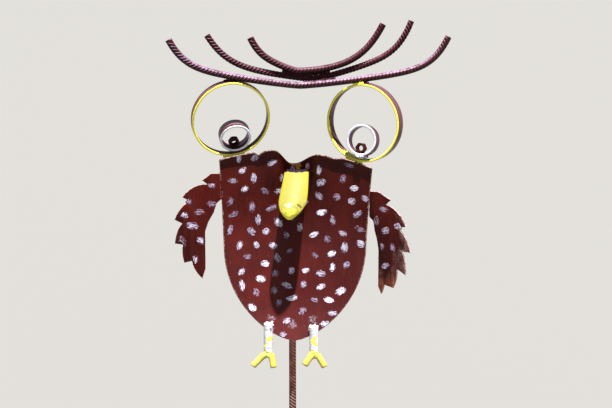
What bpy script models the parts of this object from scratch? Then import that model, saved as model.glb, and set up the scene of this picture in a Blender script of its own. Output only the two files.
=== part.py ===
"""Garden owl on a stake, welded from a shovel blade, pipe slices, nuts, plate and ribbed bar.

Metres, +Z up. The owl faces -Y. The origin is the centre of the stake's flat cut end, where it
meets the ground.
"""
import math

import bmesh
import bpy
from mathutils import Matrix, Vector

MM = 0.001
GAP = 0.3 * MM                  # clearance that touching pieces keep

# Shovel blade
BLADE_TIP = Vector((2.7, 0.0, 280.5)) * MM
BLADE_LEAN = 0.011              # sideways lean of the centre line, per unit of height
BLADE_SHEET = 2.0 * MM
BLADE_BACK = -19.5 * MM         # depth of the flat middle of the dish
BLADE_ROUND_HEIGHT = 144.0 * MM
BLADE_ROUND_HALF = 104.5 * MM
BLADE_ROUND_POWER = 0.63
BLADE_FLARE = 0.045
SHOULDER_HEIGHT = 284.8 * MM
SHOULDER_FALL = 1.4             # fall of the shoulders, in metres per square metre
SHOULDER_PEAK = -20.0 * MM
DISH_SIDE = 20.0 * MM           # how far the side edges stand forward of the middle
DISH_TIP = 14.0 * MM
DISH_TOP = 10.0 * MM
DISH_LEVEL = 130.0 * MM
STEP_LIP = 4.0 * MM             # the top edge rolled forward as a foot step
STEP_BAND = 12.0 * MM
TROUGH_DEPTH = 18.0 * MM
TROUGH_HALF_TOP = 33.0 * MM
TROUGH_HALF_LOW = 16.0 * MM
TROUGH_START = 40.0 * MM
TROUGH_FULL = 240.0 * MM
NECK_DIP = 21.7 * MM            # the curved cut where the socket was taken off
NECK_LEFT = 31.0 * MM
NECK_LEFT_RUN = 24.0 * MM
NECK_RIGHT = 36.0 * MM
NECK_RIGHT_RUN = 38.0 * MM
LOBE_RISE = 1.5 * MM
SAG_OUT, SAG_DEEP = 54.0 * MM, 3.6 * MM
LOBE_OUT = 36.0 * MM
LOBE_FORWARD = 5.0 * MM

# Ribbed bar
BAR_RADIUS = 4.9 * MM
STAKE_RADIUS = 5.5 * MM
BAR_SIDES = 10
LEG_RADIUS = 6.7 * MM

# Stake
STAKE_TOP = 526.0 * MM

# Pipe slices and nuts
EYE_RADIUS = 57.15 * MM
EYE_WALL = 3.2 * MM
IRIS_RADIUS = 23.0 * MM
IRIS_WALL = 3.6 * MM
IRIS_LENGTH = 17.0 * MM
NUT_FLATS = 14.3 * MM
NUT_BORE = 8.2 * MM
NUT_HEIGHT = 8.0 * MM

# Wing plates
WING_SHEET = 3.0 * MM
WING_CENTRE_OUT = 14.0 * MM
WING_CENTRE_DOWN = 84.0 * MM
WING_HALF_WIDTH = 55.0 * MM
WING_HALF_HEIGHT = 76.0 * MM
WING_TAB = 39.0 * MM            # the straight edge welded to the blade
WING_SLANT = 1.2 * MM

# Beak
BEAK_SHEET = 3.0 * MM
BEAK_HALF_TOP = 17.3 * MM
BEAK_HALF_WIDE = 19.5 * MM
BEAK_BULGE = 9.0 * MM
BEAK_NUB = 4.6 * MM

PAINTS = {
    "maroon": ((0.085, 0.018, 0.020), 0.30, 0.15),
    "dark_maroon": ((0.050, 0.014, 0.016), 0.40, 0.20),
    "rusty_maroon": ((0.110, 0.035, 0.028), 0.55, 0.25),
    "yellow": ((0.820, 0.690, 0.040), 0.35, 0.0),
    "white": ((0.760, 0.760, 0.740), 0.45, 0.0),
}


def clear_scene():
    for obj in list(bpy.data.objects):
        bpy.data.objects.remove(obj)


def paint(node, kind):
    """A material of the node's own, in one of the paints."""
    colour, roughness, metallic = PAINTS[kind]
    mat = bpy.data.materials.new(node + "_paint")
    mat.use_nodes = True
    shader = mat.node_tree.nodes["Principled BSDF"]
    shader.inputs["Base Color"].default_value = (*colour, 1.0)
    shader.inputs["Roughness"].default_value = roughness
    shader.inputs["Metallic"].default_value = metallic
    return mat


def add_object(node, bm, kind, sharp_angle=35.0):
    """Turn a bmesh into the named object, shaded smooth but for its sharp edges."""
    bmesh.ops.recalc_face_normals(bm, faces=bm.faces)
    mesh = bpy.data.meshes.new(node)
    bm.to_mesh(mesh)
    bm.free()
    mesh.shade_smooth()
    mesh.set_sharp_from_angle(angle=math.radians(sharp_angle))
    mesh.materials.append(paint(node, kind))
    obj = bpy.data.objects.new(node, mesh)
    bpy.context.collection.objects.link(obj)
    return obj


def ease(t):
    """A smooth step from 0 to 1."""
    t = min(max(t, 0.0), 1.0)
    return t * t * (3.0 - 2.0 * t)


# Blade

def blade_half_width(height):
    """Half width of the blade at a height above its tip."""
    if height < BLADE_ROUND_HEIGHT:
        rest = 1.0 - height / BLADE_ROUND_HEIGHT
        return BLADE_ROUND_HALF * (1.0 - rest * rest) ** BLADE_ROUND_POWER
    return BLADE_ROUND_HALF + BLADE_FLARE * (height - BLADE_ROUND_HEIGHT)


def neck_dip(out):
    """How far the top edge dips at the neck, steep on the left and gentle on the right."""
    if out < -2 * MM:
        return NECK_DIP * ease((NECK_LEFT + out) / NECK_LEFT_RUN)
    return NECK_DIP * ease((NECK_RIGHT - out) / NECK_RIGHT_RUN)


def blade_top(out):
    """Height of the top edge at a distance to the right of the centre line."""
    height = SHOULDER_HEIGHT - SHOULDER_FALL * (out - SHOULDER_PEAK) ** 2
    rise = LOBE_RISE if out < 0 else -LOBE_RISE
    height += rise * math.exp(-((abs(out) - LOBE_OUT) / (8 * MM)) ** 2)
    height -= SAG_DEEP * math.exp(-((out - SAG_OUT) / (9.5 * MM)) ** 2)
    height -= neck_dip(out)
    return height


def blade_depth(out, height):
    """Depth of the sheet's middle surface, more negative towards the viewer."""
    depth = BLADE_BACK - DISH_SIDE * abs(out / (110 * MM)) ** 2.2
    along = height - DISH_LEVEL
    if along < 0:
        depth -= DISH_TIP * (along / DISH_LEVEL) ** 2
    else:
        depth -= DISH_TOP * (along / (150 * MM)) ** 2
    grown = ease((height - TROUGH_START) / (TROUGH_FULL - TROUGH_START))
    half = TROUGH_HALF_LOW + (TROUGH_HALF_TOP - TROUGH_HALF_LOW) * grown
    if abs(out) < half:
        depth += TROUGH_DEPTH * grown * math.cos(0.5 * math.pi * out / half) ** 2
    near_top = ease((height - 205 * MM) / (60 * MM))
    depth -= LOBE_FORWARD * near_top * math.exp(-((abs(out) - LOBE_OUT) / (13 * MM)) ** 2)
    into_step = (height - blade_top(out) + STEP_BAND) / STEP_BAND
    if into_step > 0:
        depth -= STEP_LIP * ease((abs(out) - 12 * MM) / (20 * MM)) * into_step ** 2
    return depth


def blade_rows():
    """Row heights as fractions of the way up, closer together at the tip and in the step."""
    rows = [0.21 * (i / 8) ** 1.8 for i in range(9)]
    rows += [0.21 + 0.735 * i / 10 for i in range(1, 11)]
    rows += [0.965, 0.98, 0.99, 1.0]
    return rows


def blade():
    """A dished sheet, laid out in rows from the tip up and thickened about its middle."""
    columns = 28
    flat = 205 * MM
    bm = bmesh.new()
    previous = None
    for row in blade_rows():
        even = row * SHOULDER_HEIGHT
        half = blade_half_width(even)
        line = []
        for c in range(columns + 1):
            out = half * (2 * c / columns - 1)
            lift = ease((even - flat) / (SHOULDER_HEIGHT - flat))
            height = even + lift * (blade_top(out) - SHOULDER_HEIGHT)
            x = BLADE_TIP.x + out + BLADE_LEAN * height
            line.append(bm.verts.new((x, blade_depth(out, height), BLADE_TIP.z + height)))
            if row == 0:
                break
        if previous:
            for c in range(columns):
                if len(previous) == 1:
                    bm.faces.new((previous[0], line[c + 1], line[c]))
                else:
                    bm.faces.new((previous[c], previous[c + 1], line[c + 1], line[c]))
        previous = line
    obj = add_object("blade", bm, "maroon")
    sheet = obj.modifiers.new("sheet", "SOLIDIFY")
    sheet.thickness = BLADE_SHEET
    sheet.offset = 0.0
    sheet.use_even_offset = True


# Bars

def resample(points, step):
    """Points at even distances along a line of points, ends kept."""
    lengths = [0.0]
    for a, b in zip(points, points[1:]):
        lengths.append(lengths[-1] + (b - a).length)
    count = max(1, round(lengths[-1] / step))
    even = []
    j = 0
    for i in range(count + 1):
        want = lengths[-1] * i / count
        while j < len(points) - 2 and lengths[j + 1] < want:
            j += 1
        share = (want - lengths[j]) / (lengths[j + 1] - lengths[j])
        even.append(points[j].lerp(points[j + 1], min(max(share, 0.0), 1.0)))
    return even


def round_bar(node, points, radii, kind, sides=BAR_SIDES):
    """A closed bar along the points, with a radius at each and flat ends."""
    bm = bmesh.new()
    turn = Vector((0, 0, 1)).rotation_difference(points[1] - points[0])
    heading = (points[1] - points[0]).normalized()
    rings = []
    for i, point in enumerate(points):
        before = points[max(i - 1, 0)]
        after = points[min(i + 1, len(points) - 1)]
        new_heading = (after - before).normalized()
        turn = heading.rotation_difference(new_heading) @ turn
        heading = new_heading
        ring = []
        for s in range(sides):
            angle = 2 * math.pi * s / sides
            arm = Vector((math.cos(angle), math.sin(angle), 0)) * radii[i]
            ring.append(bm.verts.new(point + turn @ arm))
        rings.append(ring)
    for low, high in zip(rings, rings[1:]):
        for s in range(sides):
            t = (s + 1) % sides
            bm.faces.new((low[s], low[t], high[t], high[s]))
    bm.faces.new(rings[0][::-1])
    bm.faces.new(rings[-1])
    return add_object(node, bm, kind)


BROW_TURN = 0.15                # the right ends stand further back, per unit of width
# For each brow: lowest point, then for the left and the right arm its reach, the rise of its
# gentle sag, the rise of its kicked-up end, and the two powers that shape them.
BROWS = {
    "brow_bar_low": ((12.8, -56.0, 661.75), (186.5, 31.2, 36.0, 1.26, 9),
                     (214.5, 27.0, 42.2, 1.31, 10)),
    "brow_bar_middle": ((30.6, -45.7, 670.4), (151, 27.0, 37.0, 1.25, 6),
                        (142.5, 43.7, 39.3, 1.25, 8)),
    "brow_bar_top": ((8.0, -54.0, 682.5), (67, 29.8, 18.1, 1.26, 6),
                     (123.5, 31.0, 35.5, 2.0, 5.2)),
}


def brow_point(lowest, arm, share):
    """A point on one arm, share of the way out; the arm's reach is signed."""
    reach, sag, kick, sag_power, kick_power = arm
    x = lowest.x + reach * share * MM
    rise = sag * abs(share) ** sag_power + kick * abs(share) ** kick_power
    y = lowest.y + BROW_TURN * (x - lowest.x)
    return Vector((x, y, lowest.z + rise * MM))


def brows():
    for node, (low, left, right) in BROWS.items():
        lowest = Vector(low) * MM
        left = (-left[0], *left[1:])
        fine = [brow_point(lowest, left, 1 - i / 100) for i in range(100)]
        fine += [brow_point(lowest, right, i / 100) for i in range(101)]
        points = resample(fine, 12 * MM)
        round_bar(node, points, [BAR_RADIUS] * len(points), "maroon")


def stake():
    points = [Vector((0, 0, 0)), Vector((0, 0, STAKE_TOP))]
    round_bar("stake", points, [STAKE_RADIUS] * 2, "rusty_maroon", sides=16)


# Legs and toes: the foot's top, and the tip of each toe

LEGS = {
    "left": ((-35.5, -40.7, 309.0), (-35.6, -40.7, 264.0)),
    "right": ((32.1, -40.7, 304.5), (32.2, -40.7, 262.5)),
}
TOES = {
    "left_toe_outer": ((-40.8, -42.5, 262.1), (-58.8, -49.5, 245.2)),
    "left_toe_inner": ((-31.2, -44.5, 262.2), (-27.4, -52.5, 243.6)),
    "right_toe_inner": ((28.2, -44.0, 260.7), (18.4, -50.5, 246.6)),
    "right_toe_outer": ((37.2, -42.0, 261.1), (48.6, -49.0, 243.6)),
}


def toe(node, root, tip):
    """A short stub of bar with rounded ends."""
    root = Vector(root) * MM
    tip = Vector(tip) * MM
    shape = [(0.0, 0.45), (0.06, 0.82), (0.16, 1.0), (0.84, 1.0), (0.94, 0.82), (1.0, 0.45)]
    points = [root.lerp(tip, share) for share, _ in shape]
    radii = [BAR_RADIUS * size for _, size in shape]
    round_bar(node, points, radii, "yellow")


def legs():
    for side, (top, foot) in LEGS.items():
        points = [Vector(top) * MM, Vector(foot) * MM]
        round_bar(side + "_leg", points, [LEG_RADIUS] * 2, "white", sides=14)
    for node, (root, tip) in TOES.items():
        toe(node, root, tip)


# Pipe slices and nuts

def facing(node, place, yaw, pitch):
    """Place an object whose own +Z is its front; yaw turns it to the right, pitch up."""
    yaw = math.radians(yaw)
    pitch = math.radians(pitch)
    front = Vector((math.sin(yaw) * math.cos(pitch), -math.cos(yaw) * math.cos(pitch),
                    math.sin(pitch)))
    across = front.cross(Vector((0, 0, 1))).normalized()
    upward = across.cross(front)
    turn = Matrix((-across, upward, front)).transposed()
    node.matrix_world = Matrix.Translation(Vector(place) * MM) @ turn.to_4x4()


def turned_ring(bm, profile, segments):
    """Join rings of (radius function or number, height) into one closed loop of quads."""
    loops = []
    for radius, height in profile:
        loop = []
        for s in range(segments):
            angle = 2 * math.pi * s / segments
            r = radius(angle) if callable(radius) else radius
            loop.append(bm.verts.new((r * math.cos(angle), r * math.sin(angle), height)))
        loops.append(loop)
    for low, high in zip(loops, loops[1:] + loops[:1]):
        for s in range(segments):
            t = (s + 1) % segments
            bm.faces.new((low[s], low[t], high[t], high[s]))


def pipe_slice(node, radius, wall, length, segments, kind):
    """A slice of pipe; its front rim lies in the object's own XY plane."""
    bm = bmesh.new()
    profile = [(radius, -length), (radius, 0.0), (radius - wall, 0.0), (radius - wall, -length)]
    turned_ring(bm, profile, segments)
    return add_object(node, bm, kind)


def hex_nut(node):
    """A hexagon nut with chamfered corners and a plain bore."""
    half_flats = NUT_FLATS / 2
    bevel = 0.95 * half_flats

    def hexagon(angle):
        return half_flats / math.cos(angle % (math.pi / 3) - math.pi / 6)

    corner_drop = 0.8 * MM
    bm = bmesh.new()
    profile = [(hexagon, -NUT_HEIGHT + corner_drop), (hexagon, -corner_drop), (bevel, 0.0),
               (NUT_BORE / 2, 0.0), (NUT_BORE / 2, -NUT_HEIGHT), (bevel, -NUT_HEIGHT)]
    turned_ring(bm, profile, 24)
    return add_object(node, bm, "dark_maroon", sharp_angle=20.0)


# Length of the eye ring's slice; front rim centre, yaw and pitch of the eye ring and of the
# iris ring in it; then how deep the nut lies in the iris ring and how far round
EYES = {
    "left": (13.0, ((-86.8, -59.0, 612.2), 14.5, -17.0), ((-81.3, -49.0, 583.9), 14, -29.5),
             (5.0, 0)),
    "right": (18.0, ((101.3, -47.6, 606.3), -27, -2.1), ((99.9, -47.6, 582.0), -22.5, 7.2),
              (2.0, -6)),
}


def nut_in_ring(nut, ring, depth, round_angle):
    """Lay a nut on one of its flats on the inside of a ring."""
    half_side = NUT_FLATS / 2 * math.tan(math.pi / 6)
    inside = IRIS_RADIUS - IRIS_WALL
    seat = math.sqrt(inside ** 2 - half_side ** 2) - NUT_FLATS / 2 - GAP
    roll = Matrix.Rotation(math.radians(round_angle), 4, "Z")
    nut.matrix_world = ring.matrix_world @ roll @ Matrix.Translation((0, -seat, -depth * MM))


def eyes():
    for side, (length, ring, iris, (depth, round_angle)) in EYES.items():
        eye_ring = pipe_slice(side + "_eye_ring", EYE_RADIUS, EYE_WALL, length * MM, 48,
                              "maroon")
        facing(eye_ring, *ring)
        iris_ring = pipe_slice(side + "_iris_ring", IRIS_RADIUS, IRIS_WALL, IRIS_LENGTH, 36,
                               "maroon")
        facing(iris_ring, *iris)
        nut_in_ring(hex_nut(side + "_pupil_nut"), iris_ring, depth, round_angle)


# Wings

# The side, the weld corner, the turn towards the front and the inner edge of each plate, then
# its feathers: angle and reach of the tip, and of the notch cut in behind it
WINGS = {
    "left_wing": (-1, (-105.0, -45.5, 533.4), 8, 22.0, (
        (13, 1.00, 5, 0.90),
        (49, 1.00, 43, 0.78),
        (77, 0.99, 79, 0.77),
        (104, 0.99, 110, 0.79),
        (131, 0.95, 139, 0.78),
        (166, 0.97, 170, 0.80),
    )),
    "right_wing": (1, (115.0, -43.0, 506.9), 33, 14.0, (
        (21, 1.04, 14, 0.90),
        (60, 0.965, 53, 0.71),
        (91, 0.975, 88, 0.68),
        (119, 0.95, 122, 0.67),
        (148, 0.87, 165, 0.72),
        (174, 0.89, 180, 0.80),
    )),
}


def feather_point(angle, reach):
    """A point (outwards, downwards) on the wing from its angle and share of the full reach."""
    angle = math.radians(angle)
    return (WING_CENTRE_OUT + WING_HALF_WIDTH * reach * math.sin(angle),
            WING_CENTRE_DOWN - WING_HALF_HEIGHT * reach * math.cos(angle))


def wing_outline(inner, feathers):
    """Points (outwards, downwards) from the weld corner round the feathers and back."""
    points = [(0.0, 0.0), (13 * MM, 0.0)]
    notch = None
    for tip_angle, tip_reach, notch_angle, notch_reach in feathers:
        if notch:
            points.append(feather_point(*notch))
            for step in (0.3, 0.65):
                angle = notch[0] + (tip_angle - notch[0]) * step
                reach = notch[1] + (tip_reach - notch[1]) * step ** 0.8
                points.append(feather_point(angle, reach))
        points.append(feather_point(tip_angle, tip_reach))
        notch = (notch_angle, notch_reach)
    for i in range(8):
        down = (140 - i * (140 - 44) / 7) * MM
        out = 5 * MM + (inner - 5) * MM * ease((down - 44 * MM) / (42 * MM))
        points.append((out, down))
    points.append((-WING_SLANT, WING_TAB))
    return points


def wings():
    for node, (side, place, turn, inner, feathers) in WINGS.items():
        bm = bmesh.new()
        outline = wing_outline(inner, feathers)
        front = [bm.verts.new((side * out, -WING_SHEET / 2, -down)) for out, down in outline]
        face = bm.faces.new(front)
        grown = bmesh.ops.extrude_face_region(bm, geom=[face])
        moved = [item for item in grown["geom"] if isinstance(item, bmesh.types.BMVert)]
        bmesh.ops.translate(bm, vec=(0, WING_SHEET, 0), verts=moved)
        obj = add_object(node, bm, "maroon" if side < 0 else "rusty_maroon", sharp_angle=20.0)
        obj.location = Vector(place) * MM
        obj.rotation_euler = (0, 0, -side * math.radians(turn))


# Beak

BEAK_TOP = Vector((7.0, -20.5, 535.0)) * MM
BEAK_TIP = Vector((-4.1, -76.0, 471.0)) * MM
BEAK_BOW = 1.2 * MM


def beak_half_width(down):
    """Half width at a share of the way down, widest low and closing to a blunt nub."""
    wide = BEAK_HALF_TOP + (BEAK_HALF_WIDE - BEAK_HALF_TOP) * ease(down / 0.6)
    if down < 0.09:
        wide -= 3.5 * MM * (1 - down / 0.09) ** 2
    if down > 0.6:
        wide *= (1.0 - 0.99 * ((down - 0.6) / 0.4) ** 2) ** 0.8
    nub = 1.02 - ((down - 0.9) / 0.1) ** 2
    return max(wide, BEAK_NUB * math.sqrt(nub)) if down > 0.9 else wide


def beak():
    """A tongue cut from half a tube, its bulge towards the front."""
    rows = 14
    columns = 10
    bm = bmesh.new()
    grid = []
    for r in range(rows + 1):
        down = r / rows
        middle = BEAK_TOP.lerp(BEAK_TIP, down)
        depth = BEAK_TIP.y + (BEAK_TOP.y - BEAK_TIP.y) * (1.0 - down) ** 1.5
        half = beak_half_width(down)
        line = []
        for c in range(columns + 1):
            across = 2 * c / columns - 1
            bulge = BEAK_BULGE * (half / BEAK_HALF_WIDE) * (1 - across * across)
            x = middle.x + BEAK_BOW * math.sin(math.pi * down) + half * across
            line.append(bm.verts.new((x, depth - bulge, middle.z)))
        grid.append(line)
    for low, high in zip(grid, grid[1:]):
        for c in range(columns):
            bm.faces.new((high[c], high[c + 1], low[c + 1], low[c]))
    obj = add_object("beak", bm, "yellow")
    sheet = obj.modifiers.new("sheet", "SOLIDIFY")
    sheet.thickness = BEAK_SHEET
    sheet.offset = 0.0
    sheet.use_even_offset = True


clear_scene()
blade()
wings()
eyes()
brows()
beak()
legs()
stake()
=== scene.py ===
# %% [markdown]
# # A scrap-metal owl on a garden stake
# The owl is welded from things out of a scrap bin: a worn shovel blade is the body, slices of
# pipe are the eyes, nuts are the pupils, bent ribbed bars are the brows and a straight one is
# the stake. Everything is brushed with maroon, yellow and white enamel. The solids with the real
# sizes are loaded first, and each piece below is a finer version of one of them.

# %% Load the solids
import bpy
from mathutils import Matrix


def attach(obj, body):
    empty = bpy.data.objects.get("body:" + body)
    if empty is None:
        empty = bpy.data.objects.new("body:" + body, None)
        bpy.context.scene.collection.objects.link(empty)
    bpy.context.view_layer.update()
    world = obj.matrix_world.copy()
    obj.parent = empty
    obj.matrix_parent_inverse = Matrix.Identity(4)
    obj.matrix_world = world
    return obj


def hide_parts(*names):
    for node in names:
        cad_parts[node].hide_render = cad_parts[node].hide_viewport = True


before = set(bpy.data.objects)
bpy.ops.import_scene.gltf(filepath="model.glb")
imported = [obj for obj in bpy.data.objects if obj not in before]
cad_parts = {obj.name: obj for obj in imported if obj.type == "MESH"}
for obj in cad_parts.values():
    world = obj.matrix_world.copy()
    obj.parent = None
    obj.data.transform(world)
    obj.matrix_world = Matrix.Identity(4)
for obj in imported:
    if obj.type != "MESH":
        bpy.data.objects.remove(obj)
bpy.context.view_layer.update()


# %% [markdown]
# ## Tools used all through
# Materials and Geometry Nodes are both trees of nodes. They could be drawn by hand, but a small
# class that adds a node and plugs its inputs lets a script read like a recipe. Every mesh is
# written in place, in metres, with its object left at the origin, so a pattern made from object
# coordinates stays where it is on the piece.

# %% A node tree with short words for its nodes
import math

import bpy
from mathutils import Matrix, Vector, noise

MM = 0.001


class Nodes:
    """A node tree being built. Its inputs take plain values or other nodes' outputs."""

    def __init__(self, tree):
        self.tree = tree

    def plug(self, socket, value):
        """Link an output into an input, or set the input's own value."""
        if isinstance(value, bpy.types.NodeSocket):
            self.tree.links.new(value, socket)
            return
        if socket.type == "RGBA" and len(value) == 3:
            value = (*value, 1)
        socket.default_value = value

    def add(self, kind, inputs=None, **settings):
        """A node with its settings, and its inputs given by name or number."""
        node = self.tree.nodes.new(kind)
        for name, value in settings.items():
            setattr(node, name, value)
        for key, value in (inputs or {}).items():
            self.plug(node.inputs[key], value)
        return node

    def out(self, kind, inputs=None, which=0, **settings):
        """One output of a new node."""
        return self.add(kind, inputs, **settings).outputs[which]

    def geo(self, kind, inputs=None, which=0, **settings):
        """One output of a new geometry node."""
        return self.out("GeometryNode" + kind, inputs, which, **settings)

    def math(self, operation, *values):
        return self.out("ShaderNodeMath", dict(enumerate(values)), operation=operation)

    def times(self, first, second):
        return self.math("MULTIPLY", first, second)

    def times_plus(self, first, second, third):
        return self.math("MULTIPLY_ADD", first, second, third)

    def vmath(self, operation, *vectors, which=0):
        return self.out("ShaderNodeVectorMath", dict(enumerate(vectors)), which,
                        operation=operation)

    def scaled(self, vector, size):
        return self.out("ShaderNodeVectorMath", {0: vector, "Scale": size}, operation="SCALE")

    def split(self, vector):
        return self.add("ShaderNodeSeparateXYZ", {0: vector}).outputs

    def vector(self, x=0.0, y=0.0, z=0.0):
        return self.out("ShaderNodeCombineXYZ", {0: x, 1: y, 2: z})


# %% Meshes and objects
pieces = []                     # every finished piece, its finish, and the solids it stands for


def in_scene(name, data):
    """An object for a mesh, a light or a camera, linked into the scene."""
    obj = bpy.data.objects.new(name, data)
    bpy.context.collection.objects.link(obj)
    return obj


def mesh_object(name, points, faces, numbers=None):
    """A smooth-shaded object from points and faces, with named numbers on its points."""
    mesh = bpy.data.meshes.new(name)
    mesh.from_pydata(points, [], faces)
    for key, values in (numbers or {}).items():
        mesh.attributes.new(key, "FLOAT", "POINT").data.foreach_set("value", values)
    mesh.shade_smooth()
    return in_scene(name, mesh)


def harden(obj):
    """Replace an object's mesh by what its modifiers make of it."""
    graph = bpy.context.evaluated_depsgraph_get()
    made = bpy.data.meshes.new_from_object(obj.evaluated_get(graph), depsgraph=graph,
                                           preserve_all_data_layers=True)
    obj.modifiers.clear()
    spare = obj.data
    obj.data = made
    bpy.data.meshes.remove(spare)
    made.name = obj.name
    return obj


def triangles(obj):
    obj.data.calc_loop_triangles()
    return len(obj.data.loop_triangles)


def keep(piece, paint, finish, *nodes):
    """Note a finished piece with its finish and solids; its tree may have painted it."""
    if paint:
        piece.data.materials.append(paint)
    pieces.append((piece, finish, nodes))
    print(piece.name, triangles(piece), "triangles")


# %% [markdown]
# ## Paint
# The owl's finish is brushed enamel over rusty steel. Pictures of paint could be wrapped on
# the pieces, but noise follows any shape and never repeats. A paint is built up in coats from
# the same few ingredients: noise at several sizes for patches, noise stretched along the brush
# for streaks, round spots, and a little bump. All are made from object coordinates, in metres,
# so a scale of 100 is a pattern about a centimetre wide.

# %% A paint, coat by coat
PAINT_DEPTH = 0.22 * MM
SPOT_SOFT = 0.8                 # millimetres over which a spot's edge fades


class Paint(Nodes):
    """A material with its colour, roughness and bump height so far."""

    def __init__(self, name):
        self.material = bpy.data.materials.new(name)
        self.material.use_nodes = True
        super().__init__(self.material.node_tree)

    def coords(self):
        return self.out("ShaderNodeTexCoord", which="Object")

    def up(self):
        """Height above the ground."""
        return self.split(self.coords())[2]

    def stored(self, name, which="Fac"):
        """A number stored on the mesh under a name."""
        return self.out("ShaderNodeAttribute", which=which, attribute_name=name)

    def patches(self, scale, low=0.35, high=0.65, detail=4.0, stretch=(1, 1, 1), shift=0.0):
        """Cloudy patches from 0 to 1: noise with its contrast raised between low and high."""
        mapped = self.out("ShaderNodeMapping", {
            "Vector": self.coords(), "Location": (shift, shift, shift), "Scale": stretch})
        cloud = self.out("ShaderNodeTexNoise", {"Vector": mapped, "Scale": scale, "Detail": detail})
        return self.out("ShaderNodeMapRange", {"Value": cloud, "From Min": low, "From Max": high},
                        interpolation_type="SMOOTHSTEP")

    def span(self, value, low, high, to_low=0.0, to_high=1.0):
        """A number moved from one range to another and held inside it."""
        return self.out("ShaderNodeMapRange", {
            "Value": value, "From Min": low, "From Max": high, "To Min": to_low,
            "To Max": to_high})

    def spot(self, place, radius, fray, shift):
        """1 within a radius of a place, in millimetres, and 0 outside, with a frayed edge."""
        away = self.vmath("DISTANCE", self.coords(), Vector(place) * MM, which="Value")
        ragged = self.patches(260, 0.25, 0.75, detail=5, shift=shift)
        frayed = self.times_plus(ragged, fray * MM, away)
        return self.span(frayed, (radius - SPOT_SOFT) * MM, (radius + SPOT_SOFT) * MM, 1.0, 0.0)

    def mix(self, share, first, second):
        """One colour into another by a share."""
        return self.out("ShaderNodeMix", {0: share, 6: first, 7: second}, 2, data_type="RGBA")

    def coat(self, share, colour, strength=None):
        """Lay a colour over what is there, by a share that a strength can weaken."""
        if strength is not None:
            share = self.times(share, strength)
        self.colour = self.mix(share, self.colour, colour)

    def finish(self, depth=PAINT_DEPTH, specular=0.10):
        """Plug everything into the shader, with bumps of a given depth."""
        bump = self.out("ShaderNodeBump", {"Height": self.height, "Distance": depth})
        shader = self.tree.nodes["Principled BSDF"].inputs
        self.plug(shader["Base Color"], self.colour)
        self.plug(shader["Roughness"], self.roughness)
        self.plug(shader["Normal"], bump)
        self.plug(shader["Specular IOR Level"], specular)
        return self.material


# %% [markdown]
# ### Maroon enamel
# The maroon is thick and put on with a brush. Its colour wanders between a deep and a browner
# red, long streaks run down it, and a sprinkle of dust and tiny rust pimples sits in it. It is
# one function, because the white dabs on top of it have to match it exactly where the brush left
# gaps. With age it turns rougher, and more of the dust and rust comes out.

# %% Maroon enamel
MAROON_DEEP = (0.042, 0.0030, 0.0020)
MAROON_WARM = (0.076, 0.0060, 0.0038)
MAROON_BROWN = (0.060, 0.0095, 0.0055)
DUST = (0.20, 0.125, 0.12)
RUST = (0.13, 0.040, 0.016)
CHIPPED = (0.31, 0.21, 0.19)


def lay_maroon(p, age=0.0, shade=0.0):
    """Give a paint the maroon as its ground; shade deepens it."""
    p.colour = p.mix(p.patches(22, 0.3, 0.7), MAROON_DEEP, MAROON_WARM)
    p.coat(p.patches(30, 0.42, 0.68, stretch=(9, 9, 0.8), detail=3), MAROON_BROWN, 0.45)
    specks = p.patches(900, 0.72 - 0.06 * age, 0.80 - 0.06 * age, detail=1)
    p.coat(specks, DUST, 0.5 + 0.3 * age)
    pimples = p.patches(210, 0.72 - 0.12 * age, 0.78 - 0.08 * age, detail=3, shift=3.1)
    p.coat(pimples, RUST)
    p.coat(shade, (0.006, 0.001, 0.001))
    dusty = p.patches(60, 0.4, 0.8, detail=6, shift=1.7)
    p.roughness = p.span(dusty, 0.0, 1.0, 0.27 + 0.2 * age, 0.46 + 0.25 * age)
    brushed = p.patches(60, 0.2, 0.8, stretch=(10, 10, 0.7), detail=2, shift=0.4)
    lumps = p.patches(320, 0.2, 0.8, detail=3, shift=2.2)
    height = p.times_plus(brushed, 0.45, p.times(lumps, 0.55))
    p.height = p.math("ADD", height, p.times(pimples, 0.8))
    return p


MAROON = lay_maroon(Paint("maroon enamel")).finish()
print("paint:", MAROON.name)

# %% [markdown]
# ## Shovel blade
# The body is the blade of a digging shovel: a dished sheet 2 mm thick, pointed below, with a
# groove down its middle that deepens towards the top and two lobes beside it where the socket
# used to be. Its top edge is rolled forward as the step for the foot. It could be sculpted, but
# all of that follows from a few sizes, so the sheet is laid out as a grid: one function gives its
# half width, one its top edge and one its depth, and the grid is thickened along its normals.

# %% Sizes and curves of the blade
BLADE_TIP = Vector((2.7, 0.0, 280.5)) * MM
BLADE_LEAN = 0.011              # sideways, per unit of height
BLADE_SHEET, BLADE_BACK = 2.0 * MM, -19.5 * MM
ROUND_HEIGHT, ROUND_HALF, ROUND_POWER = 144.0 * MM, 104.5 * MM, 0.63
BLADE_FLARE = 0.045
SHOULDER_HEIGHT, SHOULDER_FALL, SHOULDER_PEAK = 284.8 * MM, 1.4, -20.0 * MM
DISH_SIDE, DISH_HALF = 20.0 * MM, 110 * MM
DISH_TIP, DISH_LEVEL, DISH_TOP, DISH_ABOVE = 14.0 * MM, 130.0 * MM, 10.0 * MM, 150 * MM
STEP_LIP, STEP_BAND, STEP_FROM, STEP_RUN = 4.0 * MM, 12.0 * MM, 12 * MM, 20 * MM
GROOVE_DEPTH, GROOVE_HALF_TOP, GROOVE_HALF_LOW = 18.0 * MM, 33.0 * MM, 16.0 * MM
GROOVE_START, GROOVE_FULL = 40.0 * MM, 240.0 * MM
NECK_DIP, NECK_MIDDLE = 21.7 * MM, -2 * MM
NECK_LEFT, NECK_LEFT_RUN = 31.0 * MM, 24.0 * MM
NECK_RIGHT, NECK_RIGHT_RUN = 36.0 * MM, 38.0 * MM
LOBE_RISE, LOBE_OUT, LOBE_WIDE = 1.5 * MM, 36.0 * MM, 8 * MM
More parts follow.
